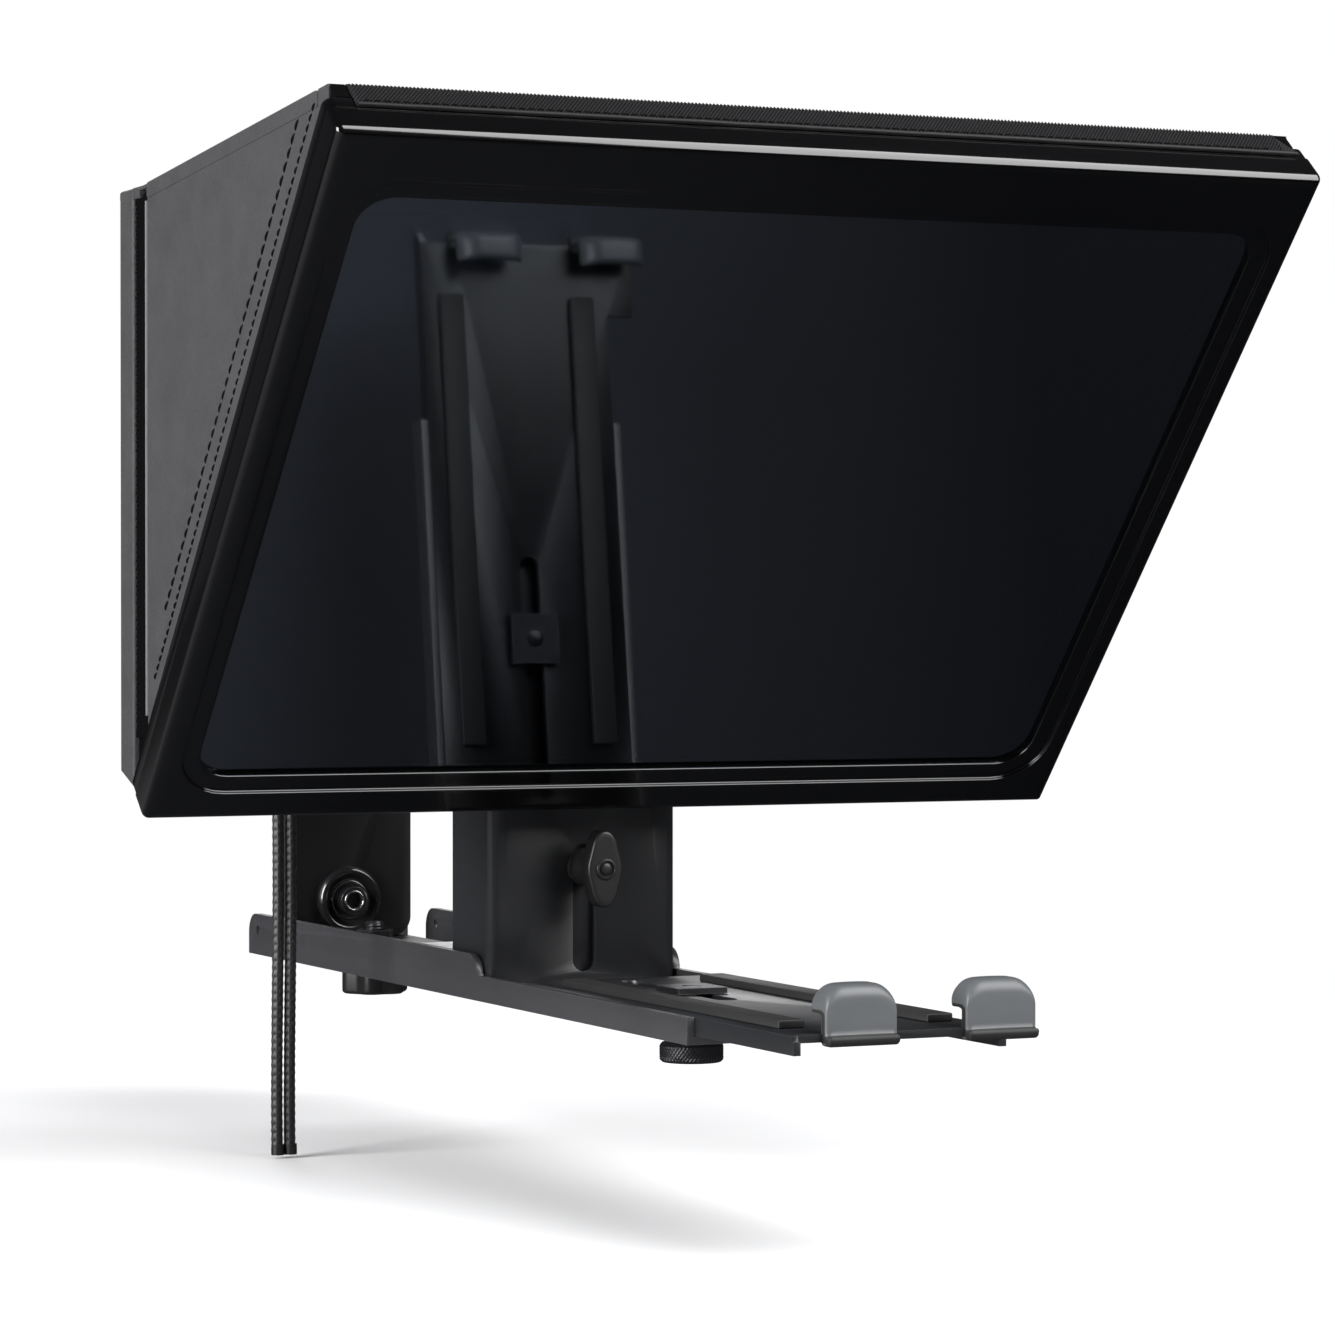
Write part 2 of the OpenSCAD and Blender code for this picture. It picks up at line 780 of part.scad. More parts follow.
module frame_bezel() {
    bezel_t = frame_t - frame_back_t;
    color(gloss_black) in_frame() difference() {
        translate([0, 0, -bezel_t]) linear_extrude(bezel_t) frame_outline();
        translate([0, 0, -bezel_t - 1]) linear_extrude(bezel_t + 2) opening(0);
        translate([0, 0, -lip_step]) linear_extrude(lip_step + 1) opening(lip_w);
        translate([0, 0, -bezel_t - 1]) linear_extrude(bezel_t + 1 - glass_inset) opening(glass_lap);
        at_frame_screws() cylinder(r = 1.25, h = 8);
    }
}

module frame_back() {
    color(satin_black) in_frame() difference() {
        translate([0, 0, -frame_t]) linear_extrude(frame_back_t) frame_outline();
        translate([0, 0, -frame_t - 1]) linear_extrude(frame_back_t + 2) opening(0);
        at_frame_screws() flat_screw_hole(1.25, frame_back_t + 1);
        at_magnets() translate([0, 0, -eps]) cylinder(r = 3, h = 1.5 + eps);
        at_frame_rivets() translate([0, 0, -eps]) cylinder(r = rivet_r, h = rivet_depth + eps);
    }
}

module frame_screws() {
    color(steel) in_frame() at_frame_screws() flat_screw(1.25, 8);
}

module catch_magnets() {
    color(steel) in_frame() at_magnets() cylinder(r = 3, h = 1.5);
}

module beam_splitter_glass() {
    color(glass_tint) in_frame() translate([0, 0, -glass_inset - glass_t])
        linear_extrude(glass_t) opening(glass_lap - 0.3);
}

module glass_gasket() {
    gasket_t = frame_t - frame_back_t - glass_inset - glass_t;
    color(rubber_black) in_frame() translate([0, 0, -glass_inset - glass_t - gasket_t])
        linear_extrude(gasket_t) difference() {
            opening(glass_lap - 0.3);
            opening(0.5);
        }
}

// The two small hinges at the frame's lower edge
module at_hinges() {
    for (x = [-hinge_x, hinge_x])
        translate([x, 0, 0]) children();
}

module at_frame_rivets() {
    at_hinges() for (x = [-10, 10])
        translate([x, 17, -frame_t]) children();
}

module at_hood_rivets() {
    at_hinges() for (x = [-10, 10])
        translate([x, 0, rim_low + 5]) children();
}

module hinge_leaf_frame() {
    color(satin_black) in_frame() difference() {
        at_hinges() difference() {
            union() {
                translate([-knuckle_w / 2, pivot_up, -pivot_back]) rotate([0, 90, 0])
                    cylinder(r = knuckle_r, h = knuckle_w);
                translate([-knuckle_w / 2, pivot_up, -frame_t - leaf_t]) cube([knuckle_w, 7, leaf_t]);
                translate([-hinge_w / 2, pivot_up + 6, -frame_t - leaf_t]) cube([hinge_w, 10, leaf_t]);
            }
            translate([-hinge_w / 2, pivot_up, -pivot_back]) rotate([0, 90, 0])
                cylinder(r = hinge_pin_r + turn_gap, h = hinge_w);
        }
        at_frame_rivets() translate([0, 0, -leaf_t - 1]) cylinder(r = rivet_r, h = 4);
    }
}

module hinge_leaf_hood() {
    arm_t = 1.6;
    pivot = slope_point(pivot_back, pivot_up);
    arm_w = (hinge_w - knuckle_w) / 2 - slip;
    color(satin_black) difference() {
        at_hinges() difference() {
            union() {
                translate([-hinge_w / 2, board_y - leaf_t, hood_low + 1])
                    cube([hinge_w, leaf_t, rim_low + 9 - hood_low - 1]);
                for (x = [-hinge_w / 2, hinge_w / 2 - arm_w]) {
                    translate([x, pivot[0], pivot[1]]) rotate([0, 90, 0]) cylinder(r = knuckle_r, h = arm_w);
                    translate([x, pivot[0], pivot[1] - arm_t / 2])
                        cube([arm_w, board_y - leaf_t / 2 - pivot[0], arm_t]);
                }
            }
            translate([-hinge_w / 2 - 1, pivot[0], pivot[1]]) rotate([0, 90, 0])
                cylinder(r = hinge_pin_r, h = hinge_w + 2);
        }
        at_hood_rivets() rod_y(rivet_r, board_y - leaf_t - 1, 4);
    }
}

module hinge_pins() {
    pivot = slope_point(pivot_back, pivot_up);
    color(steel) at_hinges() translate([-hinge_w / 2, pivot[0], pivot[1]]) rotate([0, 90, 0])
        cylinder(r = hinge_pin_r, h = hinge_w);
}

module frame_rivets() {
    color(steel) in_frame() at_frame_rivets() {
        translate([0, 0, -leaf_t - eps]) cylinder(r = rivet_r, h = leaf_t + rivet_depth + eps);
        translate([0, 0, -leaf_t - rivet_head_h]) cylinder(r = rivet_head_r, h = rivet_head_h);
    }
}

module hood_rivets() {
    color(steel) at_hood_rivets() {
        rod_y(rivet_r, board_y - leaf_t - eps, leaf_t + rivet_depth + eps);
        rod_y(rivet_head_r, board_y - leaf_t - rivet_head_h, rivet_head_h);
    }
}

// ---------------------------------------------------------------- camera mount

module rear_post() {
    foot_front = carriage_screw_y - 17;
    color(satin_black) difference() {
        union() {
            translate([-upright_w / 2, foot_front, tray_low])
                cube([upright_w, post_back_y + sheet - foot_front, sheet]);
            translate([0, post_back_y + sheet, tray_low]) rotate([90, 0, 0])
                linear_extrude(sheet) arch_plate(upright_w, 62, 6);
        }
        translate([0, carriage_screw_y, 0]) cylinder(r = stud_r + turn_gap, h = 10);
        translate([0, post_back_y + sheet + 1, 0]) rotate([90, 0, 0])
            slot(slot_r, [riser_z - 0.5, riser_z + platform_lift + 0.5], 0, sheet + 2);
    }
}

module carriage_nut() {
    color(steel) translate([0, carriage_screw_y, tray_low + sheet]) difference() {
        cylinder(r = 6, h = 4, $fn = 6);
        translate([0, 0, -1]) cylinder(r = stud_r + turn_gap, h = 6);
    }
}

module carriage_knob() {
    grip_h = 9;
    lobes = 6;
    color(rubber_black) translate([0, carriage_screw_y, 0]) {
        translate([0, 0, -slip - 2 - grip_h]) linear_extrude(grip_h) polygon([
            for (i = [0 : 71])
                let (a = i * 5, r = 9.6 + 0.9 * cos(lobes * a)) [r * cos(a), r * sin(a)]
        ]);
        translate([0, 0, -slip - 2 - eps]) cylinder(r = 6, h = 2 + eps);
        translate([0, 0, -slip - eps]) cylinder(r = stud_r, h = 11);
    }
}

module riser_hole(r, y0, length) {
    translate([0, 0, riser_z]) rod_y(r, y0, length);
}

module camera_bracket() {
    leg_low = tray_low + sheet + slip;
    bracket_back = leg_y + sheet;
    color(satin_black) difference() {
        union() {
            translate([0, bracket_back, platform_z]) rotate([90, 0, 0]) mirror([0, 1, 0])
                linear_extrude(sheet) arch_plate(upright_w, platform_z - leg_low, 6);
            translate([0, bracket_back, platform_z - sheet]) rotate([0, 0, 180])
                linear_extrude(sheet) arch_plate(2 * platform_half, bracket_back - platform_front, 8);
        }
        slot(quarter_inch_r + 0.3, slot_y, platform_z - sheet - 1, sheet + 2);
        riser_hole(stud_r, leg_y - 1, sheet + 2);
    }
}

module riser_washer() {
    color(satin_black) translate([0, leg_y, riser_z]) rotate([90, 0, 0]) rotate_extrude($fn = 64) polygon([
        [stud_r, 0],
        [10.4, 0],
        [10.4, 2.2],
        [9.6, 3.2],
        [8, 3.4],
        [6.4, 2.6],
        [5.6, 1.2],
        [stud_r, 1.2]
    ]);
}

module riser_screw() {
    head_h = 4.6;
    head_seat = leg_y - 1.2;
    socket_r = 2.6;
    socket_depth = 2.6;
    color(steel) difference() {
        union() {
            riser_hole(4.4, head_seat - head_h, head_h);
            riser_hole(stud_r, head_seat - eps, 9.5);
        }
        translate([0, head_seat - head_h + socket_depth, riser_z]) rotate([90, 0, 0])
            cylinder(r = socket_r, h = head_h, $fn = 6);
    }
}

module riser_nut() {
    nut_y = post_back_y + sheet + 0.1;
    color(steel) difference() {
        translate([0, nut_y + 4, riser_z]) rotate([90, 0, 0]) cylinder(r = 6, h = 4, $fn = 6);
        riser_hole(stud_r, nut_y - 1, 6);
    }
}

module platform_pad() {
    pad_rear = leg_y - 3;
    color(rubber_black) difference() {
        translate([0, pad_rear, platform_z]) rotate([0, 0, 180])
            linear_extrude(pad_t) arch_plate(2 * platform_half - 6, pad_rear - platform_front - 2, 6);
        slot(5, slot_y, platform_z - 1, pad_t + 2);
    }
}

module screw_retainer() {
    color(steel) translate([0, camera_screw_y, platform_z - sheet - slip - retainer_t]) difference() {
        cylinder(r = 9, h = retainer_t);
        translate([0, 0, -1]) cylinder(r = camera_shank_r + turn_gap, h = retainer_t + 2);
    }
}

// The shank is thinner than the thread, so the screw can't fall out of its retainer
module camera_screw() {
    grip_h = 6;
    grip_z = platform_z - sheet - 2 * slip - retainer_t - grip_h;
    thread_z = platform_z + pad_t + camera_thread_gap;
    color(steel) translate([0, camera_screw_y, 0]) {
        translate([0, 0, grip_z]) knurled_grip(10, grip_h, 36, 0.5);
        translate([0, 0, grip_z + grip_h - eps])
            cylinder(r = camera_shank_r, h = thread_z - grip_z - grip_h + 2 * eps);
        translate([0, 0, thread_z]) cylinder(r = quarter_inch_r, h = camera_thread_h);
    }
}

// ---------------------------------------------------------------- assembly

base_rail();
tripod_block();
block_screws();
inner_post();
post_screws();
post_nut();
tray_nut();
tray_channel();
tray_pads();
hook_covers();
tray_knob();
hood_bracket();
bracket_screws();
hood_back();
fold_strips();
sleeve_ring();
ring_screws();
lens_sleeve();
drawcord();
cord_lock();
lock_button();
wing_knob();
knob_stud();
knob_washer();
frame_bezel();
frame_back();
frame_screws();
beam_splitter_glass();
glass_gasket();
catch_magnets();
hinge_leaf_frame();
hinge_leaf_hood();
hinge_pins();
frame_rivets();
hood_rivets();
side_panel_left();
side_panel_right();
top_panel();
top_hem();
rear_post();
carriage_nut();
carriage_knob();
camera_bracket();
riser_washer();
riser_screw();
riser_nut();
platform_pad();
screw_retainer();
camera_screw();
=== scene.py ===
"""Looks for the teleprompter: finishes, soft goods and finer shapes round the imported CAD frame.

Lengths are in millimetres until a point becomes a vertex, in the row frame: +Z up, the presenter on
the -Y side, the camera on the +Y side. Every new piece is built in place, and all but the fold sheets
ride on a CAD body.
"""

import json
import math

import bmesh
import bpy
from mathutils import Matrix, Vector, noise


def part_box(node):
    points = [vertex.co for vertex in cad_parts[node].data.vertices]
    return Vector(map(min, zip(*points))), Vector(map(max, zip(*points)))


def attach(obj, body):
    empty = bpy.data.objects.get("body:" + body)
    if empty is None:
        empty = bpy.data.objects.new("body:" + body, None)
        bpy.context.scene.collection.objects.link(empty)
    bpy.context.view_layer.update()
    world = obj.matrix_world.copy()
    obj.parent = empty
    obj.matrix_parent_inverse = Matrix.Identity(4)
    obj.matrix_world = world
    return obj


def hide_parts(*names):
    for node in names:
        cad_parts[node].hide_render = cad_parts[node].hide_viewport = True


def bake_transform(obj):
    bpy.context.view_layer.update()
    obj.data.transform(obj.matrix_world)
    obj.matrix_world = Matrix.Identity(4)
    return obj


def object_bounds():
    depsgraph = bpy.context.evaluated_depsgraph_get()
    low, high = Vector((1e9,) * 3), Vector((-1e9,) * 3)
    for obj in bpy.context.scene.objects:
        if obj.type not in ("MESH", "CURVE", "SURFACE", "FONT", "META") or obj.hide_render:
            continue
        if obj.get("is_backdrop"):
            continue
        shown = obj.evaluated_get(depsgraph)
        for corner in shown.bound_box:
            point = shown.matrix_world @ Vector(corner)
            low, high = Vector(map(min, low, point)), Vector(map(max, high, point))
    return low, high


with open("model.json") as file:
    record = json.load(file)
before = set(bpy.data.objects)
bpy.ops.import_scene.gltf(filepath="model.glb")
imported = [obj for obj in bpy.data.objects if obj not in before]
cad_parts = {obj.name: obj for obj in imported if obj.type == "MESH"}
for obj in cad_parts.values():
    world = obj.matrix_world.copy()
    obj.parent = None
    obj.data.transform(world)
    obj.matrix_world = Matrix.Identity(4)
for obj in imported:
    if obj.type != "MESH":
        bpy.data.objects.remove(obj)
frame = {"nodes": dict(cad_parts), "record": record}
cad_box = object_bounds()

MM = 0.001
TURN = 2 * math.pi


def box_mm(node):
    """Lowest and highest corner of a CAD node, in millimetres."""
    low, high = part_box(node)
    return low / MM, high / MM


# ------------------------------------------------------------ dimensions

TILT = math.radians(41.2)          # the glass frame's lean from upright
ROOF_SLOPE = math.radians(4.6)
PANEL_T = 4.0
BEZEL_T = 9.0
FRAME_T = 13.0
BORDER_SIDE, BORDER_TOP, BORDER_LOW = 11.0, 19.0, 14.5
OPENING_R = 9.0
LIP_W, LIP_STEP = 5.0, 1.2
GLASS_INSET, GLASS_LAP = 2.8, 4.0
FOLD_GAP = 3.0                     # from a fold's axis to the rim on one side and the panel on the other
RIM_LAP = 7.0                      # how far the rim's walls reach behind the back board
HEM_BACK = 13.4                    # how far the hood's front edges stop behind the glass frame's face
SEAM_BACK = 22.6                   # the side panels' first row of stitches, behind the frame's face
SEAM_IN = 3.4                      # from the roof's ends to its rows of stitches
RIB_PITCH = 0.95
RIB_LEAN = 0.8                     # how far the hem's ribs lean across for each millimetre along the slope

frame_low, frame_high = box_mm("frame_back")
hood_low, hood_high = box_mm("hood_back")
left_low = box_mm("side_panel_left")[0]
top_low = box_mm("top_panel")[0]

FRAME_HALF = frame_high.x
FRAME_Y = frame_high.y - FRAME_T * math.cos(TILT)
FRAME_Z = frame_low.z - BEZEL_T * math.sin(TILT)
FRAME_L = (frame_high.z - FRAME_Z - FRAME_T * math.sin(TILT)) / math.cos(TILT)
HOOD_HALF = hood_high.x
RIM_Y, RIM_BACK_Y = hood_low.y, hood_high.y
BOARD_BACK_Y = RIM_BACK_Y - RIM_LAP
BOARD_Y = BOARD_BACK_Y - PANEL_T
FOLD_Y = RIM_Y - FOLD_GAP
PANEL_Y = FOLD_Y - FOLD_GAP
HEM_Y = top_low.y
SIDE_MID = HOOD_HALF - PANEL_T / 2
LENS_Z = sum(v.z for v in box_mm("sleeve_ring")) / 2
LENS_R = box_mm("sleeve_ring")[1].x - 8.0


def slope_point(back, up):
    """y and z of a point, from its depth behind the glass frame's face and its height up the slope."""
    return Vector((
        FRAME_Y + back * math.cos(TILT) - up * math.sin(TILT),
        FRAME_Z + back * math.sin(TILT) + up * math.cos(TILT),
    ))


def roof_z(y):
    """Height of the hood's outer top surface at y."""
    return hood_high.z + (FOLD_Y - y) * math.tan(ROOF_SLOPE)


def roof_front():
    """y and z where the roof's outer surface meets the plane of the frame's upper end."""
    start = slope_point(0, FRAME_L)
    fall = math.sin(TILT) + math.cos(TILT) * math.tan(ROOF_SLOPE)
    return slope_point((roof_z(start.x) - start.y) / fall, FRAME_L)


HEM_LOW_BACK = 9.6                 # the hem's lower edge, behind the glass frame's face
HEM_UP = FRAME_L + 0.45            # the hem's face, up the slope


def hem_lower():
    """y and z of the hem's lower edge, where it rests on the glass frame's upper end."""
    return slope_point(HEM_LOW_BACK, HEM_UP)


# ------------------------------------------------------------ shader helpers

FINISHES = {}


def add(tree, kind, inputs=None, **settings):
    """Adds a shader node. A value in inputs is a number, a colour or another node's output."""
    node = tree.nodes.new("ShaderNode" + kind)
    for key, value in settings.items():
        setattr(node, key, value)
    for key, value in (inputs or {}).items():
        if isinstance(value, bpy.types.NodeSocket):
            tree.links.new(value, node.inputs[key])
        else:
            node.inputs[key].default_value = value
    return node


def grey(tree, value, dark, light):
    """Maps a 0 to 1 value on to the range dark to light."""
    return add(tree, "MapRange", {"Value": value, "To Min": dark, "To Max": light}).outputs["Result"]


def mixed(tree, share, first, second):
    """A colour between two colours."""
    node = add(tree, "Mix", data_type="RGBA")
    tree.links.new(share, node.inputs[0])
    for socket, value in ((node.inputs[6], first), (node.inputs[7], second)):
        if isinstance(value, bpy.types.NodeSocket):
            tree.links.new(value, socket)
        else:
            socket.default_value = value
    return node.outputs[2]


def noise_value(tree, coords, per_mm, detail=3.0):
    texture = add(tree, "TexNoise", {"Vector": coords, "Scale": per_mm / MM, "Detail": detail})
    return texture.outputs["Fac"]


def wave_value(tree, coords, period, direction):
    """A smooth 0 to 1 wave across one axis, period in millimetres."""
    scale = TURN / (20 * period * MM)
    texture = add(tree, "TexWave", {"Vector": coords, "Scale": scale, "Distortion": 0.0},
                  bands_direction=direction)
    return texture.outputs["Fac"]


def combined(tree, operation, first, second):
    node = add(tree, "Math", operation=operation)
    for socket, value in zip(node.inputs, (first, second)):
        if isinstance(value, bpy.types.NodeSocket):
            tree.links.new(value, socket)
        else:
            socket.default_value = value
    return node.outputs[0]


def bump(tree, height, depth, below=None):
    """A bump of the given depth in millimetres, laid over another bump."""
    inputs = {"Height": height, "Distance": depth * MM, "Strength": 1.0}
    if below is not None:
        inputs["Normal"] = below
    return add(tree, "Bump", inputs).outputs["Normal"]


def edge_wear_and_highlight_mask(tree, radius):
    """1 along sharp edges and 0 on flats, for paler edges that are part wear and part painted highlight."""
    soft = add(tree, "Bevel", {"Radius": radius * MM}, samples=4).outputs["Normal"]
    hard = add(tree, "NewGeometry").outputs["Normal"]
    dot = add(tree, "VectorMath", {0: soft, 1: hard}, operation="DOT_PRODUCT").outputs["Value"]
    return add(tree, "MapRange", {"Value": dot, "From Min": 0.99, "From Max": 0.75}).outputs["Result"]


def tinted(color, factor):
    return tuple(min(1.0, c * factor) for c in color) + (1.0,)


def finish(name, color, rough, vary=0.18, patch=0.03, rough_vary=0.08, grain=None, worn_and_lit_edges=None, **shader):
    """A material from one colour: patches of colour and gloss, a grain bump, and paler edges (wear and
    painted highlight).

    grain is a list of (kind, features per mm, depth in mm). The paler edges take a (colour, share) pair.
    """
    material = bpy.data.materials.new(name)
    FINISHES[name] = material
    material.use_nodes = True
    tree = material.node_tree
    principled = tree.nodes["Principled BSDF"]
    coords = add(tree, "TexCoord").outputs["Object"]
    patches = noise_value(tree, coords, patch, 4.0)
    base = mixed(tree, patches, tinted(color, 1 - vary), tinted(color, 1 + vary))
    roughness = grey(tree, noise_value(tree, coords, patch * 3), rough - rough_vary, rough + rough_vary)
    # Paler sharp edges: partly wear, partly a painted highlight along the edges.
    if worn_and_lit_edges:
        worn_and_lit_color, share = worn_and_lit_edges
        worn_and_lit = combined(tree, "MULTIPLY", edge_wear_and_highlight_mask(tree, 0.5), noise_value(tree, coords, 0.25, 5.0))
        base = mixed(tree, combined(tree, "MULTIPLY", worn_and_lit, share), base, tinted(worn_and_lit_color, 1))
    tree.links.new(base, principled.inputs["Base Color"])
    tree.links.new(roughness, principled.inputs["Roughness"])
    normal = None
    for kind, per_mm, depth in grain or []:
        if kind == "pebble":
            cells = add(tree, "TexVoronoi", {"Vector": coords, "Scale": per_mm / MM},
                        feature="DISTANCE_TO_EDGE").outputs["Distance"]
            height = add(tree, "MapRange", {"Value": cells, "From Max": 0.25},
                         interpolation_type="SMOOTHSTEP").outputs["Result"]
        elif kind == "brushed":
            stretched = add(tree, "Mapping", {"Vector": coords, "Scale": (1.0, 0.04, 1.0)})
            height = noise_value(tree, stretched.outputs["Vector"], per_mm, 2.0)
        else:
            height = noise_value(tree, coords, per_mm, 2.0)
        normal = bump(tree, height, depth, normal)
    if normal is not None:
        tree.links.new(normal, principled.inputs["Normal"])
    for key, value in shader.items():
        principled.inputs[key.replace("_", " ")].default_value = value
    return material


def woven(name, color, period, depth, rough=0.85, axes=("X", "Z")):
    """A plain weave of two crossing threads, with slubs and a soft sheen."""
    material = finish(name, color, rough, vary=0.3, patch=0.4, Specular_IOR_Level=0.04)
    tree = material.node_tree
    coords = add(tree, "TexCoord").outputs["Object"]
    across, along = (wave_value(tree, coords, period, axis) for axis in axes)
    weave = combined(tree, "ABSOLUTE", combined(tree, "SUBTRACT", across, along), 0.0)
    slubs = noise_value(tree, coords, 0.8)
    height = combined(tree, "ADD", weave, combined(tree, "MULTIPLY", slubs, 0.6))
    tree.links.new(bump(tree, height, depth), tree.nodes["Principled BSDF"].inputs["Normal"])


def ribbed(name, valley_shade, crest):
    """The hem's fabric: slanted ribs with painted shade in their valleys, in step with the ribs of its mesh.
    """
    material = finish(name, crest, 0.6, vary=0.3, patch=0.6, Specular_IOR_Level=0.12, Sheen_Weight=0.02)
    tree = material.node_tree
    coords = add(tree, "TexCoord").outputs["Object"]
    lean = (1.0, -RIB_LEAN * math.cos(TILT), -RIB_LEAN * math.sin(TILT))
    across = add(tree, "VectorMath", {0: coords, 1: lean}, operation="DOT_PRODUCT").outputs["Value"]
    phase = combined(tree, "MULTIPLY", across, TURN / (RIB_PITCH * MM))
    offset = combined(tree, "SUBTRACT", phase, rib_origin() * TURN / RIB_PITCH)
    wave = combined(tree, "COSINE", offset, 0.0)
    share = add(tree, "MapRange", {"Value": wave, "From Min": -0.5, "From Max": 0.8}).outputs["Result"]
    uneven = combined(tree, "MULTIPLY", share, grey(tree, noise_value(tree, coords, 0.5), 0.5, 1.3))
    principled = tree.nodes["Principled BSDF"]
    # The darker colour in the valleys between the ribs is painted shade.
    tree.links.new(mixed(tree, uneven, tinted(valley_shade, 1), tinted(crest, 1)), principled.inputs["Base Color"])
    tree.links.new(bump(tree, noise_value(tree, coords, 6.0), 0.02), principled.inputs["Normal"])


def rib_origin():
    """The value of the ribs' slanted coordinate on the hem's lower edge at x = 0."""
    lower = hem_lower()
    return -RIB_LEAN * (lower.x * math.cos(TILT) + lower.y * math.sin(TILT))


def splitter_glass(name):
    """Dark tinted sheet that lets some light through and mirrors the rest."""
    material = bpy.data.materials.new(name)
    FINISHES[name] = material
    material.use_nodes = True
    tree = material.node_tree
    tree.nodes.clear()
    coords = add(tree, "TexCoord").outputs["Object"]
    ripple = bump(tree, noise_value(tree, coords, 0.02), 0.02)
    smudge = grey(tree, noise_value(tree, coords, 0.03, 5.0), 0.015, 0.05)
    mirror = add(tree, "BsdfGlossy", {"Color": (0.85, 0.92, 1.0, 1), "Roughness": smudge, "Normal": ripple})
    clear = add(tree, "BsdfTransparent", {"Color": (0.30, 0.32, 0.36, 1)})
    fresnel = add(tree, "Fresnel", {"IOR": 1.5}).outputs["Fac"]
    share = add(tree, "MapRange", {"Value": fresnel, "To Min": 0.16, "To Max": 1.0}).outputs["Result"]
    both = add(tree, "MixShader", {0: share, 1: clear.outputs[0], 2: mirror.outputs[0]})
    output = add(tree, "OutputMaterial")
    tree.links.new(both.outputs[0], output.inputs["Surface"])


def coated_steel(name, color, rough, worn_and_lit, specular):
    """Powder-coated sheet: a fine grain, and slightly paler edges, part wear and part painted highlight."""
    finish(name, color, rough, grain=[("noise", 3.0, 0.010), ("noise", 0.8, 0.006)], worn_and_lit_edges=(worn_and_lit, 0.3),
           Specular_IOR_Level=specular)


# ------------------------------------------------------------ finishes

coated_steel("satin_black_steel", (0.0115, 0.012, 0.0135), 0.36, (0.14, 0.14, 0.15), 0.6)
coated_steel("satin_grey_steel", (0.034, 0.033, 0.036), 0.38, (0.16, 0.16, 0.17), 0.6)
coated_steel("matt_black_steel", (0.0045, 0.0045, 0.005), 0.42, (0.10, 0.10, 0.11), 0.4)
finish("polished_black_steel", (0.010, 0.010, 0.011), 0.17, rough_vary=0.04, grain=[("noise", 0.7, 0.01)],
       worn_and_lit_edges=((0.25, 0.25, 0.26), 0.6), Specular_IOR_Level=0.8)
finish("black_oxide_steel", (0.035, 0.035, 0.038), 0.32, grain=[("brushed", 6.0, 0.003)],
       worn_and_lit_edges=((0.32, 0.32, 0.33), 0.8), Metallic=0.7)
finish("bright_steel", (0.5, 0.5, 0.5), 0.25, vary=0.2, patch=0.8, grain=[("brushed", 6.0, 0.004)],
       Metallic=1.0)
finish("aluminium_block", (0.62, 0.63, 0.64), 0.30, vary=0.05, grain=[("brushed", 5.0, 0.004)],
       Metallic=1.0)
finish("magnet_nickel", (0.62, 0.60, 0.56), 0.18, vary=0.06, grain=[("noise", 2.0, 0.001)], Metallic=1.0)
finish("black_leather", (0.036, 0.036, 0.038), 0.57, vary=0.24, patch=0.12, rough_vary=0.05,
       grain=[("pebble", 1.1, 0.05), ("noise", 3.5, 0.015), ("noise", 0.12, 0.08)],
       Sheen_Weight=0.03, Specular_IOR_Level=0.30)
ribbed("ribbed_fabric", (0.0015, 0.0015, 0.0018), (0.019, 0.019, 0.021))
# Black fabric darkened to near black: real black cloth, and painted shade in the hood's gaps and along its
# front edges.
woven("black_fabric", (0.0016, 0.0016, 0.0018), 0.55, 0.05)
woven("sleeve_fabric", (0.008, 0.008, 0.009), 0.8, 0.12)
finish("black_cord", (0.010, 0.010, 0.011), 0.42, vary=0.4, patch=0.8, grain=[("noise", 9.0, 0.02)],
       Sheen_Weight=0.1)
finish("grey_rubber", (0.085, 0.090, 0.095), 0.42, vary=0.10, patch=0.05,
       grain=[("noise", 5.0, 0.006), ("noise", 0.5, 0.01)], worn_and_lit_edges=((0.2, 0.2, 0.2), 0.2))
finish("black_rubber", (0.012, 0.012, 0.012), 0.62, vary=0.2, grain=[("noise", 4.0, 0.015)])
finish("black_plastic", (0.012, 0.012, 0.0125), 0.36, vary=0.15, grain=[("noise", 5.0, 0.008)],
       worn_and_lit_edges=((0.07, 0.07, 0.07), 0.3))
finish("gloss_black_frame", (0.0008, 0.0008, 0.0009), 0.12, vary=0.2, rough_vary=0.03,
       grain=[("noise", 0.06, 0.01)], worn_and_lit_edges=((0.02, 0.02, 0.02), 0.3),
       Coat_Weight=0.3, Coat_Roughness=0.06)
splitter_glass("beam_splitter_glass")
finish("welt_fabric", (0.009, 0.009, 0.010), 0.5, vary=0.3, patch=0.5, grain=[("noise", 6.0, 0.03)],
       Sheen_Weight=0.02, Specular_IOR_Level=0.2)
finish("thread", (0.004, 0.004, 0.004), 0.6, vary=0.3, patch=1.0, grain=[("noise", 9.0, 0.01)],
       Specular_IOR_Level=0.08)
# Pale grey piping: a painted highlight along the side panels' rear edges.
finish("piping", (0.12, 0.12, 0.125), 0.30, vary=0.1, grain=[("pebble", 2.2, 0.01)])

# Nodes that look different from their CAD material: a paler rail, a polished riser screw, a gloss
# retainer behind the glass frame, and duller camera brackets.
NODE_FINISH = {
    "base_rail": "satin_grey_steel",
    "riser_screw": "polished_black_steel",
    "frame_back": "gloss_black_frame",
    "rear_post": "matt_black_steel",
    "camera_bracket": "matt_black_steel",
}

for part in frame["record"]["subparts"]:
    cad_object = frame["nodes"][part["node"]]
    cad_object.data.materials.clear()
    cad_object.data.materials.append(FINISHES[NODE_FINISH.get(part["node"], part["material_slot"])])


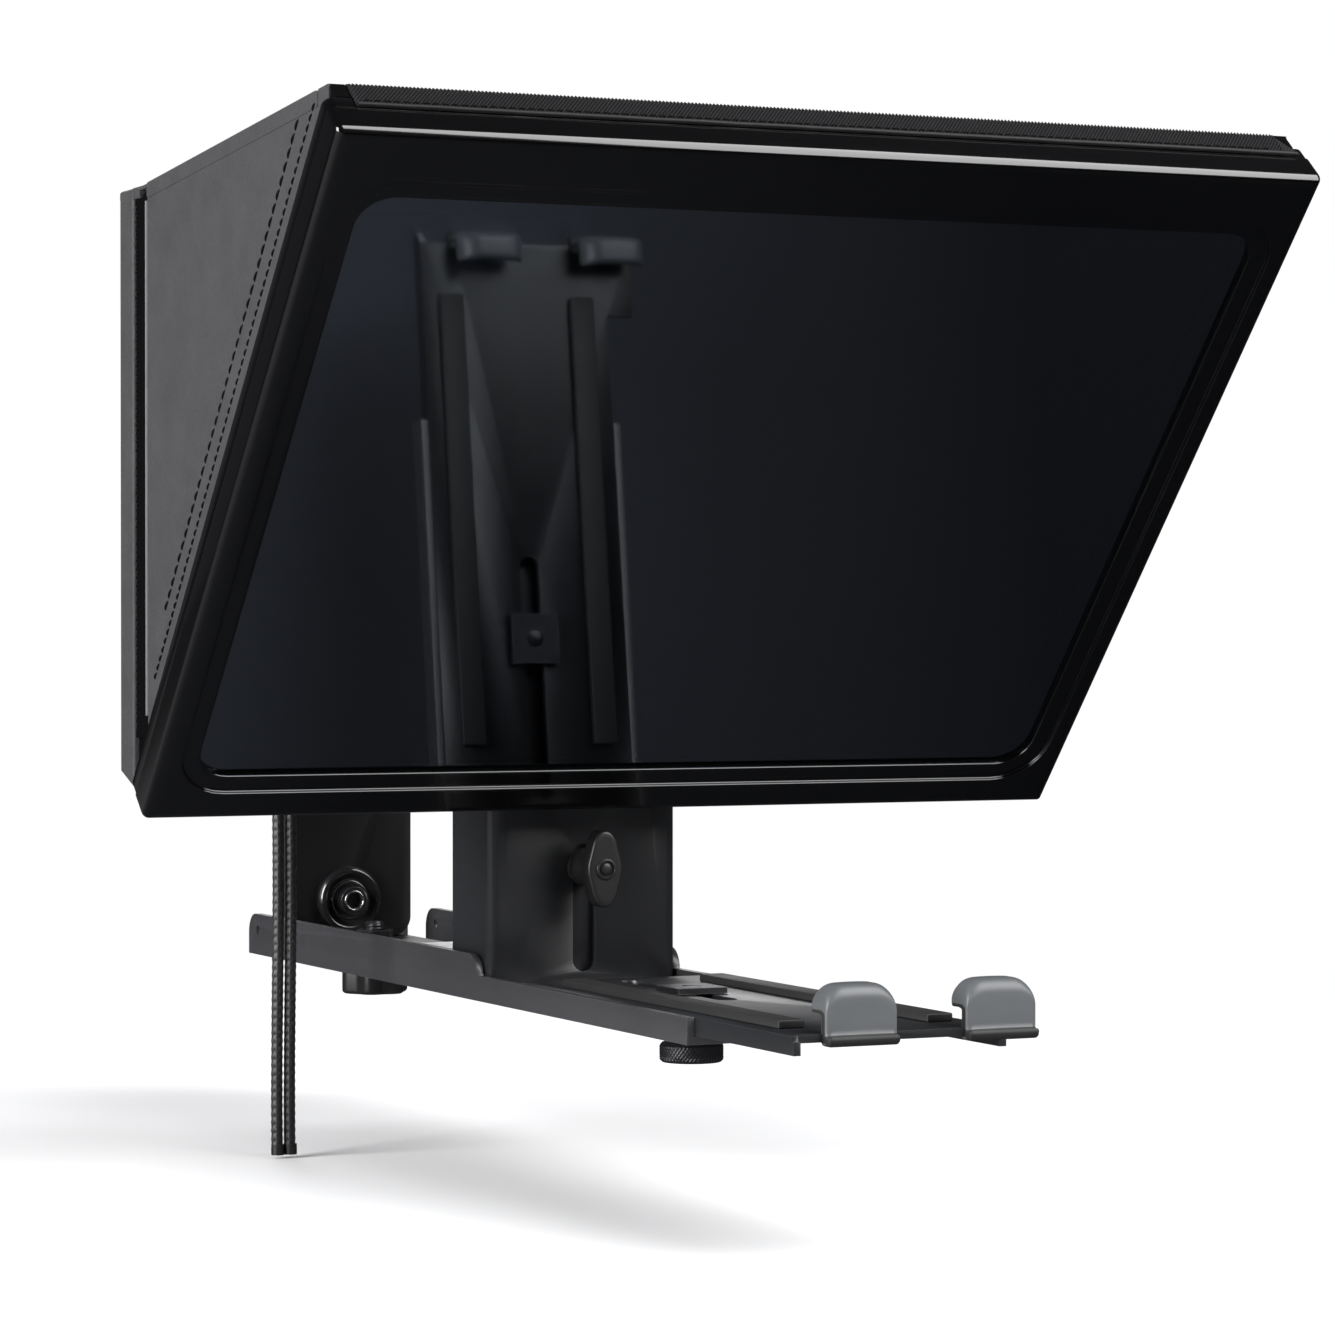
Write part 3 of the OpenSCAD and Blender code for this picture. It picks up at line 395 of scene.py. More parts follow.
def soften(node, width, angle=35.0, segments=2):
    """Rounds a CAD node's edges with modifiers, which leave its own mesh as it is."""
    cad_object = frame["nodes"][node]
    weld = cad_object.modifiers.new("weld", "WELD")
    weld.merge_threshold = 0.002 * MM
    flat = cad_object.modifiers.new("flat", "DECIMATE")
    flat.decimate_type = "DISSOLVE"
    flat.angle_limit = math.radians(1.0)
    bevel = cad_object.modifiers.new("bevel", "BEVEL")
    bevel.width = width * MM
    bevel.segments = segments
    bevel.angle_limit = math.radians(angle)
    bevel.use_clamp_overlap = True
    bevel.harden_normals = True
    for face in cad_object.data.polygons:
        face.use_smooth = True


for sheet_part in ("base_rail", "tray_channel", "hood_bracket", "inner_post", "rear_post",
                   "camera_bracket", "hinge_leaf_frame", "hinge_leaf_hood"):
    soften(sheet_part, 0.35)
for small_part in ("cord_lock", "lock_button", "frame_back", "platform_pad", "tray_pads", "riser_screw",
                   "screw_retainer", "sleeve_ring"):
    soften(small_part, 0.4)


# ------------------------------------------------------------ mesh helpers


def mesh_object(name, work, materials, body=None, sharp=40.0):
    """Makes an object of a bmesh, with even normals and smooth shading up to the sharp angle."""
    bmesh.ops.remove_doubles(work, verts=work.verts, dist=0.0005 * MM)
    bmesh.ops.recalc_face_normals(work, faces=work.faces)
    mesh = bpy.data.meshes.new(name)
    work.to_mesh(mesh)
    work.free()
    for face in mesh.polygons:
        face.use_smooth = True
    mesh.set_sharp_from_angle(angle=math.radians(sharp))
    for material in materials:
        mesh.materials.append(FINISHES[material])
    piece = bpy.data.objects.new(name, mesh)
    bpy.context.scene.collection.objects.link(piece)
    if body:
        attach(piece, body)
    return piece


def skin(work, rings, closed_rings=True, closed_loop=False, material=0):
    """Joins each ring of points to the next with quads."""
    made = [[work.verts.new(Vector(p) * MM) for p in ring] for ring in rings]
    pairs = list(zip(made, made[1:] + made[:1])) if closed_loop else list(zip(made, made[1:]))
    for first, second in pairs:
        count = len(first)
        for i in range(count if closed_rings else count - 1):
            j = (i + 1) % count
            face = work.faces.new((first[i], first[j], second[j], second[i]))
            face.material_index = material
    return made


def cap(work, ring, material=0):
    face = work.faces.new(ring)
    face.material_index = material


def lathe(work, place, profile, sides, ripple=None, material=0, closed=False):
    """Turns (radius, height) points about an axis. ripple(angle, radius, height) adds to the radius."""
    rings = []
    for radius, height in profile:
        ring = []
        for i in range(sides):
            angle = TURN * i / sides
            r = radius + (ripple(angle, radius, height) if ripple else 0.0)
            ring.append(place(r * math.cos(angle), r * math.sin(angle), height))
        rings.append(ring)
    made = skin(work, rings, closed_loop=closed, material=material)
    if not closed:
        for end in (made[0], made[-1]):
            cap(work, end, material)
    return made


def quarter(steps, first=0):
    """Angles from 0 to 90 degrees in even steps, from step number first on."""
    return [math.pi / 2 * k / steps for k in range(first, steps + 1)]


def centre_xy(low, high):
    """x and y halfway between two corners."""
    return (low.x + high.x) / 2, (low.y + high.y) / 2


def upright(x, y, z):
    """Places turned shapes with their axis along +Z."""
    return lambda a, b, h: Vector((x + a, y + b, z + h))


def facing(x, y, z):
    """Places turned shapes with their axis along -Y, towards the presenter."""
    return lambda a, b, h: Vector((x + a, y - h, z + b))


def tube(work, path, radius, sides, closed=False, material=0, caps=True):
    """Sweeps a circle along a path. radius is a number or a function of (angle, distance along)."""
    count = len(path)
    normal = Vector((0, 0, 1)).cross(path[1] - path[0])
    if normal.length < 1e-6:
        normal = Vector((1, 0, 0))
    rings = []
    travelled = 0.0
    for i, point in enumerate(path):
        ahead = path[(i + 1) % count] if closed or i + 1 < count else point
        behind = path[i - 1] if closed or i else point
        forward = (ahead - behind).normalized()
        normal = (normal - forward * normal.dot(forward)).normalized()
        side = forward.cross(normal)
        if i:
            travelled += (point - path[i - 1]).length
        ring = []
        for k in range(sides):
            angle = TURN * k / sides
            r = radius(angle, travelled) if callable(radius) else radius
            ring.append(point + (normal * math.cos(angle) + side * math.sin(angle)) * r)
        rings.append(ring)
    made = skin(work, rings, closed_loop=closed, material=material)
    if caps and not closed:
        for end in (made[0], made[-1]):
            cap(work, end, material)
    return made


def stitches(work, start, end, normal, pitch=3.1, length=2.1, r=0.22, material=0, lift=0.05):
    """A row of sewn stitches between two points, each a small arched length of thread."""
    run = end - start
    along = run.normalized()
    for i in range(int(run.length / pitch)):
        first = start + along * (pitch * i + (pitch - length) / 2)
        path = []
        for k in range(7):
            share = k / 6
            arch = math.sin(math.pi * share) ** 0.5
            path.append(first + along * (length * share) + normal * (lift + r * (1.5 * arch - 1.0)))
        tube(work, path, r, 6, material=material)


def offset_corners(points, insets):
    """A convex outline's corners, counter-clockwise, after each side has moved inwards by its own inset."""
    count = len(points)
    moved = []
    for i, here in enumerate(points):
        before = (here - points[i - 1]).normalized()
        after = (points[(i + 1) % count] - here).normalized()
        sine = before.cross(after)
        moved.append(here + (after * insets[i - 1] - before * insets[i]) / sine)
    return moved


EDGE_STEPS = 4


def edge_steps(thick, edge_r):
    """(inset, half thickness) of a pad's rounded edge."""
    return [(edge_r * (1 - math.cos(a)), thick / 2 - edge_r + edge_r * math.sin(a))
            for a in quarter(EDGE_STEPS)]


def padded_quad(work, corners, place, thick, edge_r, cells, crown=0.0, square_sides=(), outside=0,
                inside=1, lined_edge=False):
    """A thin pad on four corners with rounded edges, gently crowned, leather outside and lined inside.

    square_sides keep a sharp edge. lined_edge gives the edge of side 0 to the lining.
    """
    columns, rows = cells
    counts = (columns, rows, columns, rows)
    corners = [Vector(c) for c in corners]
    levels = edge_steps(thick, edge_r)
    levels.append((levels[-1][0] + 0.8, thick / 2))

    def side_insets(inset):
        return [0.0 if side in square_sides else inset for side in range(4)]

    def ring_points(inset, half, sign):
        moved = offset_corners(corners, side_insets(inset))
        ring = []
        for side, count in enumerate(counts):
            start, end = moved[side], moved[(side + 1) % 4]
            for k in range(count):
                p = start.lerp(end, k / count)
                ring.append(place(p.x, p.y, sign * half))
        return ring

    outer_rims = []
    for sign in (1, -1):
        rings = [ring_points(inset, half, sign) for inset, half in levels]
        first_face = len(work.faces)
        made = skin(work, rings, material=outside)
        outer_rims.append(made[0])
        if lined_edge:
            work.faces.ensure_lookup_table()
            around = 2 * (columns + rows)
            for level in range(EDGE_STEPS):
                for k in range(columns):
                    work.faces[first_face + level * around + k].material_index = inside
        inner = offset_corners(corners, side_insets(levels[-1][0]))
        grid = []
        for j in range(rows + 1):
            line = []
            for i in range(columns + 1):
                u, v = i / columns, j / rows
                p = inner[0].lerp(inner[1], u).lerp(inner[3].lerp(inner[2], u), v)
                uneven = 0.6 + 0.8 * noise.noise(Vector((p.x, p.y, 9.0 * sign)) * 0.03)
                swell = crown * uneven * (1 - (2 * u - 1) ** 4) * (1 - (2 * v - 1) ** 4)
                line.append(work.verts.new(place(p.x, p.y, sign * (thick / 2 + swell)) * MM))
            grid.append(line)
        for j in range(rows):
            for i in range(columns):
                face = work.faces.new((grid[j][i], grid[j][i + 1], grid[j + 1][i + 1], grid[j + 1][i]))
                face.material_index = outside if sign > 0 else inside
    total = len(outer_rims[0])
    for i in range(total):
        j = (i + 1) % total
        rim = work.faces.new((outer_rims[0][i], outer_rims[0][j], outer_rims[1][j], outer_rims[1][i]))
        rim.material_index = inside if lined_edge and i < columns else outside


def rect_ring(x0, x1, y0, y1, r, steps=7):
    """Points round a rectangle with rounded corners, always the same number of them."""
    ring = []
    centres = ((x1 - r, y1 - r), (x0 + r, y1 - r), (x0 + r, y0 + r), (x1 - r, y0 + r))
    for quarter, (cx, cy) in enumerate(centres):
        for k in range(steps + 1):
            angle = math.pi / 2 * (quarter + k / steps)
            ring.append((cx + r * math.cos(angle), cy + r * math.sin(angle)))
    return ring


# ------------------------------------------------------------ glass frame


def in_frame(x, up, out):
    """A point from the glass frame's own directions: across, up the slope, out of its face."""
    y, z = slope_point(-out, up)
    return Vector((x, y, z))


def glass_frame_moulding():
    """The glossy frame: bull-nosed outer edge, a stepped lip round the opening, a seat for the glass."""
    nose = 2.7
    small = 0.45
    corner = 1.7
    rings = []

    def outer(inset, out):
        r = max(corner - inset, 0.25)
        rings.append([in_frame(x, up, out) for x, up in rect_ring(
            -FRAME_HALF + inset, FRAME_HALF - inset, inset, FRAME_L - inset, r)])

    def opening(grow, out):
        rings.append([in_frame(x, up, out) for x, up in rect_ring(
            -FRAME_HALF + BORDER_SIDE - grow, FRAME_HALF - BORDER_SIDE + grow,
            BORDER_LOW - grow, FRAME_L - BORDER_TOP + grow, OPENING_R + grow)])

    outer(0.0, -BEZEL_T)
    for k in range(9):
        angle = math.pi / 2 * k / 8
        outer(nose * (1 - math.cos(angle)), -nose * (1 - math.sin(angle)))
    outer(nose + 1.0, 0.0)
    opening(LIP_W + small + 1.0, 0.0)
    for k in range(5):
        angle = math.pi / 2 * k / 4
        opening(LIP_W + small * (1 - math.sin(angle)), -small * (1 - math.cos(angle)))
    for k in range(5):
        angle = math.pi / 2 * k / 4
        opening(LIP_W - small * (1 - math.cos(angle)), -LIP_STEP + small * (1 - math.sin(angle)))
    opening(LIP_W - 1.2, -LIP_STEP)
    opening(1.2, -LIP_STEP)
    for k in range(5):
        angle = math.pi / 2 * k / 4
        opening(small * (1 - math.sin(angle)), -LIP_STEP - small * (1 - math.cos(angle)))
    opening(0.0, -GLASS_INSET)
    opening(GLASS_LAP, -GLASS_INSET)
    opening(GLASS_LAP, -BEZEL_T)
    work = bmesh.new()
    skin(work, rings, closed_loop=True)
    piece = mesh_object("glass_frame_moulding", work, ["gloss_black_frame"], "glass_frame", sharp=50)
    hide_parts("frame_bezel")


glass_frame_moulding()


# ------------------------------------------------------------ leather hood


def side_place(side):
    """Places (y, z, height out of the panel) on the left (-1) or right (+1) panel."""
    return lambda y, z, h: Vector((side * (SIDE_MID + h), y, z))


def side_corners(low_back, high_back):
    """Corners of a side panel in y and z: front low, foot, rear top, front top.

    low_back and high_back are how far its front edge stays behind the glass frame's face.
    """
    foot_up = (FRAME_Y + low_back * math.cos(TILT) - PANEL_Y) / math.sin(TILT)
    under_roof = PANEL_T + 0.1
    front_y = roof_front().x + 1.5
    return [
        slope_point(high_back, FRAME_L - 3.0),
        slope_point(low_back, foot_up),
        Vector((PANEL_Y, roof_z(PANEL_Y) - under_roof)),
        Vector((front_y, roof_z(front_y) - under_roof)),
    ]


def side_panel(side, body, name):
    """One side: grained leather outside, and a black lining along the slanted front edge whose near-black
    also paints the shade there.
    """
    corners = side_corners(18.0, 14.4)
    front_low, foot, rear_top, _ = corners
    place = side_place(side)
    work = bmesh.new()
    padded_quad(work, corners, lambda y, z, h: place(y, z, h + 0.3), PANEL_T - 0.6, 1.0, (72, 36),
                crown=0.15, square_sides=(2, 3), lined_edge=True)
    # The black lining pad and lining tip reach past the leather's front edge; their near-black also paints
    # the shade beside the frame.
    padded_quad(work, side_corners(HEM_BACK, HEM_BACK), lambda y, z, h: place(y, z, h - 0.9), 2.2, 1.0,
                (72, 36), square_sides=(2,), outside=1)
    step = Vector((HEM_Y - 0.4, roof_z(HEM_Y - 0.4)))
    lining_tip = [roof_front(), slope_point(HEM_BACK, FRAME_L), slope_point(HEM_BACK, FRAME_L - 4.0),
                  step - Vector((0, 12.0)), step]
    slab(work, lining_tip, place, PANEL_T / 2 - 0.5, -PANEL_T / 2)
    leather_tip = [roof_front(), front_low, step - Vector((0, 6.0)), step]
    slab(work, leather_tip, place, PANEL_T / 2, PANEL_T / 2 - 1.5, material=0)
    outward = Vector((side, 0, 0))
    face = PANEL_T / 2
    stitches(work, place(*slope_point(SEAM_BACK, FRAME_L - 8), face + 0.1),
             place(*slope_point(SEAM_BACK, 28), face + 0.1), outward, pitch=3.0, length=2.1, r=0.26,
             material=2)
    stitches(work, place(*SECOND_SEAM[0], face + 0.1), place(*SECOND_SEAM[1], face + 0.1), outward,
             pitch=4.0, length=3.0, r=0.3, material=2)
    # The piping along the rear edge; its pale grey is a painted highlight.
    edge = [place(PANEL_Y + 0.9, foot.y + 5 + k * (rear_top.y - foot.y - 5.4) / 40, face - 0.5)
            for k in range(41)]
    tube(work, edge, 0.6, 8, material=3)
    piece = mesh_object(name, work, ["black_leather", "black_fabric", "thread", "piping"], body)
    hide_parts("side_panel_" + ("left" if side < 0 else "right"))


def slab(work, outline, place, top, low, material=1):
    """A flat piece between two heights on an outline."""
    rings = [[place(p.x, p.y, h) for p in outline] for h in (low, top)]
    made = skin(work, rings, material=material)
    for end in made:
        cap(work, end, material)


# Ends of the second row of stitches on the side panels, in y and z.
SECOND_SEAM = (Vector((-176.5, 221.0)), Vector((-76.0, 104.0)))

side_panel(-1, "side_panel_left", "leather_side_left")
side_panel(1, "side_panel_right", "leather_side_right")


def top_place(x, s, h):
    """Places (x, distance forward along the roof, height above its middle) on the top panel."""
    start_z = roof_z(PANEL_Y) - PANEL_T / 2
    return Vector((
        x,
        PANEL_Y - s * math.cos(ROOF_SLOPE) + h * math.sin(ROOF_SLOPE),
        start_z + s * math.sin(ROOF_SLOPE) + h * math.cos(ROOF_SLOPE),
    ))


def top_panel():
    """The leather roof, sewn across near the hem."""
    length = (PANEL_Y - HEM_Y) / math.cos(ROOF_SLOPE)
    work = bmesh.new()
    corners = [(-HOOD_HALF, 0), (HOOD_HALF, 0), (HOOD_HALF, length), (-HOOD_HALF, length)]
    padded_quad(work, corners, top_place, PANEL_T, 1.2, (72, 48), crown=0.25, square_sides=(1, 3))
    up = Vector((0, math.sin(ROOF_SLOPE), math.cos(ROOF_SLOPE)))
    for s in (SEAM_IN + 1.0, length - SEAM_IN):
        stitches(work, top_place(-HOOD_HALF + 5, s, PANEL_T / 2 + 0.1),
                 top_place(HOOD_HALF - 5, s, PANEL_T / 2 + 0.1), up, material=2)
    piece = mesh_object("leather_roof", work, ["black_leather", "black_fabric", "thread"], "top_panel")
    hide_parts("top_panel")


top_panel()


def ribbed_hem():
    """The ribbed band across the roof's front, with a sewn welt that rests on the glass frame's end."""
    rib_h = 0.2
    step_x = RIB_PITCH / 6
    lower = hem_lower()
    nose = roof_front() + Vector((-0.3, 0.1))
    rear = Vector((HEM_Y - 0.3, roof_z(HEM_Y - 0.3)))
    under = [Vector((HEM_Y - 0.3, slope_point(HEM_BACK, FRAME_L - 11.0).y)),
             slope_point(HEM_BACK, FRAME_L - 11.0), slope_point(HEM_BACK, FRAME_L + 0.25),
             slope_point(HEM_LOW_BACK, FRAME_L + 0.15)]
    out_of_face = Vector((-math.sin(TILT), math.cos(TILT)))
    out_of_roof = Vector((-math.sin(ROOF_SLOPE), math.cos(ROOF_SLOPE)))
    face_l, roof_l = (nose - lower).length, (rear - nose).length
    outline = [(lower.lerp(nose, k / 12), out_of_face, face_l * k / 12) for k in range(12)]
    outline += [(nose.lerp(rear, k / 8), out_of_roof, face_l + roof_l * k / 8) for k in range(9)]
    outline += [(p, Vector((0, 0)), (face_l + roof_l) * (3 - k) / 4) for k, p in enumerate(under)]
    half = HOOD_HALF - PANEL_T - 0.4
    shear = RIB_LEAN * (face_l + roof_l)
    work = bmesh.new()
    rings = []
    for i in range(int((2 * half + shear) / step_x) + 2):
        start_x = -half - shear + i * step_x
        height = rib_h * math.cos(TURN * start_x / RIB_PITCH)
        ring = []
        for p, outwards, along in outline:
            x = max(-half, min(half, start_x + RIB_LEAN * along))
            q = p + outwards * (height * min(1.0, half - abs(x)))
            ring.append(Vector((x, q.x, q.y)))
        rings.append(ring)
    made = skin(work, rings)
    for end in (made[0], made[-1]):
        cap(work, end)
    ear_end = HOOD_HALF - 0.3
    ear = [(half - 0.4, 0.0), (ear_end, 0.0), (half - 0.4, 0.9)]
    sides = [[Vector((x, *(lower.lerp(nose, share) + out_of_face * h))) for x, share in ear]
             for h in (-0.7, 0.15)]
    for end in skin(work, sides):
        cap(work, end)
    out3 = Vector((0, out_of_face.x, out_of_face.y))
    welt_at = slope_point(HEM_LOW_BACK + 0.5, HEM_UP + 0.05)
    welt = []
    for k in range(91):
        x = -half + 0.4 + k * (half + ear_end - 1.2) / 90
        sag = 0.12 * noise.noise(Vector((x * 0.09, 3.0, 0.0)))
        welt.append(Vector((x, welt_at.x, welt_at.y)) + out3 * sag)
    tube(work, welt, 0.6, 10, material=1)
    stitch_at = slope_point(HEM_LOW_BACK + 2.0, HEM_UP + 0.15)
    stitches(work, Vector((-half + 2, *stitch_at)), Vector((half - 2, *stitch_at)), out3,
             pitch=2.4, length=1.7, r=0.2, material=2)
    piece = mesh_object("ribbed_hem", work, ["ribbed_fabric", "welt_fabric", "thread"], "top_panel")
    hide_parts("top_hem")


ribbed_hem()


def back_board():
    """The hood's leather back with the round lens opening, and the rim that frames it."""
    half = HOOD_HALF - PANEL_T + 0.3
    low, high = hood_low.z, hood_high.z - PANEL_T + 0.3
    middle = (BOARD_Y + BOARD_BACK_Y) / 2
    per_side = 24
    rim_ring = []
    corners = [Vector(c) for c in ((half, low), (half, high), (-half, high), (-half, low))]
    for i, corner in enumerate(corners):
        after = corners[(i + 1) % 4]
        rim_ring += [corner.lerp(after, k / per_side) for k in range(per_side)]
    centre = Vector((0.0, LENS_Z))
    circle = [centre + (p - centre).normalized() * LENS_R for p in rim_ring]
    outline_insets = edge_steps(PANEL_T, 1.4)
    work = bmesh.new()
    rims = []
    for sign in (1, -1):
        rings = []
        for inset, h in outline_insets:
            shrink = 1 - inset / half
            rings.append([Vector((p.x * shrink, middle + sign * h, LENS_Z + (p.y - LENS_Z) * shrink))
                          for p in rim_ring])
        for j in range(1, 9):
            share = j / 8
            inner_r = 1.2 if j == 8 else 0.0
            ring = []
            for p, c in zip(rim_ring, circle):
                q = (p * (1 - 1.4 / half)).lerp(c + (c - centre).normalized() * inner_r, share)
                puff = 0.3 * math.sin(math.pi * share)
                ring.append(Vector((q.x, middle + sign * (PANEL_T / 2 + puff), q.y)))
            rings.append(ring)
        rings.append([Vector((c.x, middle + sign * (PANEL_T / 2 - 1.2), c.y)) for c in circle])
        made = skin(work, rings, material=0 if sign > 0 else 1)
        rims.append((made[0], made[-1]))
    for k in (0, 1):
        front, back = rims[0][k], rims[1][k]
        for i in range(len(front)):
            j = (i + 1) % len(front)
            work.faces.new((front[i], front[j], back[j], back[i]))
    for side in (-1, 1):
        place = side_place(side)
        strip_top = hood_high.z - 0.7
        strip = [(BOARD_Y, hood_low.z), (RIM_BACK_Y, hood_low.z + 4), (RIM_BACK_Y, strip_top),
                 (BOARD_Y, strip_top)]
        padded_quad(work, strip, place, PANEL_T, 0.8, (4, 60), inside=0)
        flap = [Vector(p) for p in ((RIM_Y, 68.0), (BOARD_Y + 1, 68.0),
                                    (BOARD_Y + 1, hood_high.z - 1.5), (RIM_Y, hood_high.z - 1.5))]
        slab(work, flap, place, PANEL_T / 2 - 1.6, -PANEL_T / 2)
    end = HOOD_HALF - 0.15
    roof = [(-end, RIM_Y), (end, RIM_Y), (end, RIM_BACK_Y), (-end, RIM_BACK_Y)]
    padded_quad(work, roof, lambda x, y, h: Vector((x, y, hood_high.z - 1.5 + h)), 3.0, 0.8, (60, 6),
                inside=0)
    piece = mesh_object("leather_back_board", work, ["black_leather", "black_fabric"], "hood_carriage")
    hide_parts("hood_back")


back_board()


def fold_sheet(name, path, across, material_sides, stitch_row=None):
    """A soft sheet over a fold: path goes from the rim to the panel, across is the fold's own line."""
    thick = 0.9
    work = bmesh.new()
    start, end = across
    count = max(2, int((end - start).length / 3))
    rings = []
    for k in range(count + 1):
        origin = start.lerp(end, k / count)
        ring = []
        for p, n in path:
            ring.append(origin + p + n * thick / 2)
        for p, n in reversed(path):
            ring.append(origin + p - n * thick / 2)
        rings.append(ring)
    made = skin(work, rings)
    for end_ring in (made[0], made[-1]):
        cap(work, end_ring)
    if stitch_row:
        stitches(work, *stitch_row, pitch=2.2, length=1.3, r=0.25, material=1)
    piece = mesh_object(name, work, material_sides)
    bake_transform(piece)
    return piece


def hood_folds():
    """Black fabric folds at the two sides, near black to paint the shade in the side gaps, and a leather
    fold along the roof.
    """
    rear, front = BOARD_Y - 0.2, PANEL_Y + 0.6
    span = rear - front
    for side, word in ((-1, "left"), (1, "right")):
        path = []
        for k in range(17):
            share = k / 16
            dip = 0.35 * math.sin(math.pi * share)
            path.append((Vector((-side * dip, -span * share, 0)), Vector((side, 0, 0))))
        x = side * (SIDE_MID + 0.85)
        low = Vector((x, rear, left_low.z + 6.0))
        high = Vector((x, rear, hood_high.z - 2.2))
        row_x, row_y = side * (SIDE_MID + 1.3), rear - 0.9
        row = (Vector((row_x, row_y, low.z + 2)), Vector((row_x, row_y, high.z - 2)), Vector((side, 0, 0)))
        fold_sheet("fold_" + word, path, (low, high),
                   ["black_fabric", "welt_fabric"], row)
    path = []
    for k in range(17):
        share = k / 16
        rise = math.tan(ROOF_SLOPE) * max(0.0, span * share - (rear - FOLD_Y))
        path.append((Vector((0, -span * share, rise)), Vector((0, 0, 1))))
    z = hood_high.z - 0.6
    ends = (Vector((-HOOD_HALF + 0.1, rear, z)), Vector((HOOD_HALF - 0.1, rear, z)))
    piece = fold_sheet("fold_roof", path, ends, ["black_leather"])
    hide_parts("fold_strips")


hood_folds()


# ------------------------------------------------------------ lens sleeve and drawcord

sleeve_low, sleeve_high = box_mm("lens_sleeve")
SLEEVE_R = sleeve_high.x - 3.5      # the cloth's outer radius between ring and cord
cord_low, cord_high = box_mm("drawcord")
CORD_LOOP_Y = sleeve_high.y - 2.0
CORD_R = 1.7
GATHERS = 34                        # folds of the sleeve's cloth at the cord


def sleeve_fold(angle, radius, height):
    """Gathers of the sleeve's cloth: none at the ring, deep at the cord, uneven round the circle."""
    reach = sleeve_high.y - sleeve_low.y
    share = max(0.0, min(1.0, height / (reach - 2.0)))
    uneven = 0.6 + 0.4 * noise.noise(Vector((math.cos(angle) * 2.0, math.sin(angle) * 2.0, 1.0)))
    drift = noise.noise(Vector((3.0 * math.cos(angle), 3.0 * math.sin(angle), 5.0)))
    sharp = math.cos(GATHERS * angle + 1.3 * drift)
    broad = noise.noise(Vector((math.cos(angle) * 4, math.sin(angle) * 4, height * 0.06)))
    hollow = 1.0 if radius > LENS_R - 3 else 0.0
    gathers = share ** 1.6 * uneven * 1.1 * (sharp - 0.4)
    swell = 1.2 * broad * math.sin(math.pi * share)
    return hollow * (gathers + swell - 0.4 * share)


def lens_sleeve():
    """Black cloth drawn in by a cord round the camera's lens."""
    length = sleeve_high.y - sleeve_low.y
    outer = [(LENS_R + 7.6, 0.0), (LENS_R + 7.6, 1.0), (LENS_R - 0.4, 1.0), (LENS_R - 0.4, 4.2)]
    outer += [(LENS_R - 0.4 + (SLEEVE_R - LENS_R + 3.6) * math.sin(math.pi / 2 * k / 6), 4.2 + 1.4 * k)
              for k in range(1, 7)]
    for k in range(1, 25):
        share = k / 24
        outer.append((SLEEVE_R + 3.2 - 1.3 * share ** 2, 12.6 + (length - 17.0) * share))
    outer += [(SLEEVE_R + 1.0, length - 3.2), (SLEEVE_R + 0.9, length - 2.0), (SLEEVE_R + 1.2, length - 0.9),
              (SLEEVE_R + 1.0, length - 0.1), (SLEEVE_R + 0.2, length)]
    inner = [(max(r - 1.2, LENS_R - 1.6), h) for r, h in outer[:1:-1]]
    inner = [(r, h if h > 1.0 else 0.0) for r, h in inner]
    work = bmesh.new()
    lathe(work, lambda a, b, h: Vector((a, sleeve_low.y + h, LENS_Z + b)), outer + inner, 288,
          sleeve_fold, closed=True)
    piece = mesh_object("lens_sleeve_cloth", work, ["sleeve_fabric"], "hood_carriage",
                        sharp=80)
    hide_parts("lens_sleeve")


lens_sleeve()


def braid(angle, distance):
    """Radius of a braided cord: yarns that meet in columns of chevrons round a soft core."""
    lane = abs((angle * 4 / math.pi) % 2 - 1)
    yarn = abs(math.sin(math.pi * (distance / 2.3 + 0.8 * lane)))
    column = abs(math.cos(2 * angle)) ** 0.3
    return CORD_R - 0.36 + 0.36 * yarn ** 0.7 * column


def drawcord():
    """The cord round the sleeve and its two hanging ends, with melted tips."""
    loop_r = cord_high.x - CORD_R
    loop = [Vector((loop_r * math.cos(a), CORD_LOOP_Y, LENS_Z + loop_r * math.sin(a)))
            for a in (TURN * k / 720 for k in range(720))]
    work = bmesh.new()
    tube(work, loop, braid, 16, closed=True)
    strand_y = cord_high.y - CORD_R
    for x in (cord_low.x + CORD_R + 0.2, cord_low.x + CORD_R + 3.95):
        bottom = cord_low.z
        straight = [Vector((x + 0.25 * math.sin(0.05 * z), strand_y, z))
                    for z in (bottom + 0.35 * k for k in range(int((LENS_Z - 16 - bottom) / 0.35)))]
        knee = straight[-1]
        target = Vector((-loop_r, CORD_LOOP_Y + 0.5, LENS_Z - 2))
        bend = []
        for k in range(1, 41):
            share = k / 40
            control = Vector((knee.x, knee.y, knee.z + 9))
            bend.append(knee.lerp(control, share).lerp(control.lerp(target, share), share))
        tube(work, straight + bend, braid, 24)
        tube(work, [Vector((x, strand_y, bottom + k)) for k in (0, 1.5, 3.0)], CORD_R + 0.15, 16, material=1)
    piece = mesh_object("drawcord_braid", work, ["black_cord", "black_plastic"], "hood_carriage", sharp=70)
    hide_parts("drawcord")


drawcord()


# ------------------------------------------------------------ hooks and knobs

hooks_low, hooks_high = box_mm("hook_covers")
HOOK_W = 19.0


def inset_outline(outline, inset):
    """A closed clockwise outline moved inwards, along the normal at each of its points."""
    moved = []
    for i, p in enumerate(outline):
        run = (outline[(i + 1) % len(outline)] - outline[i - 1]).normalized()
        moved.append(p + Vector((run.y, -run.x)) * inset)
    return moved


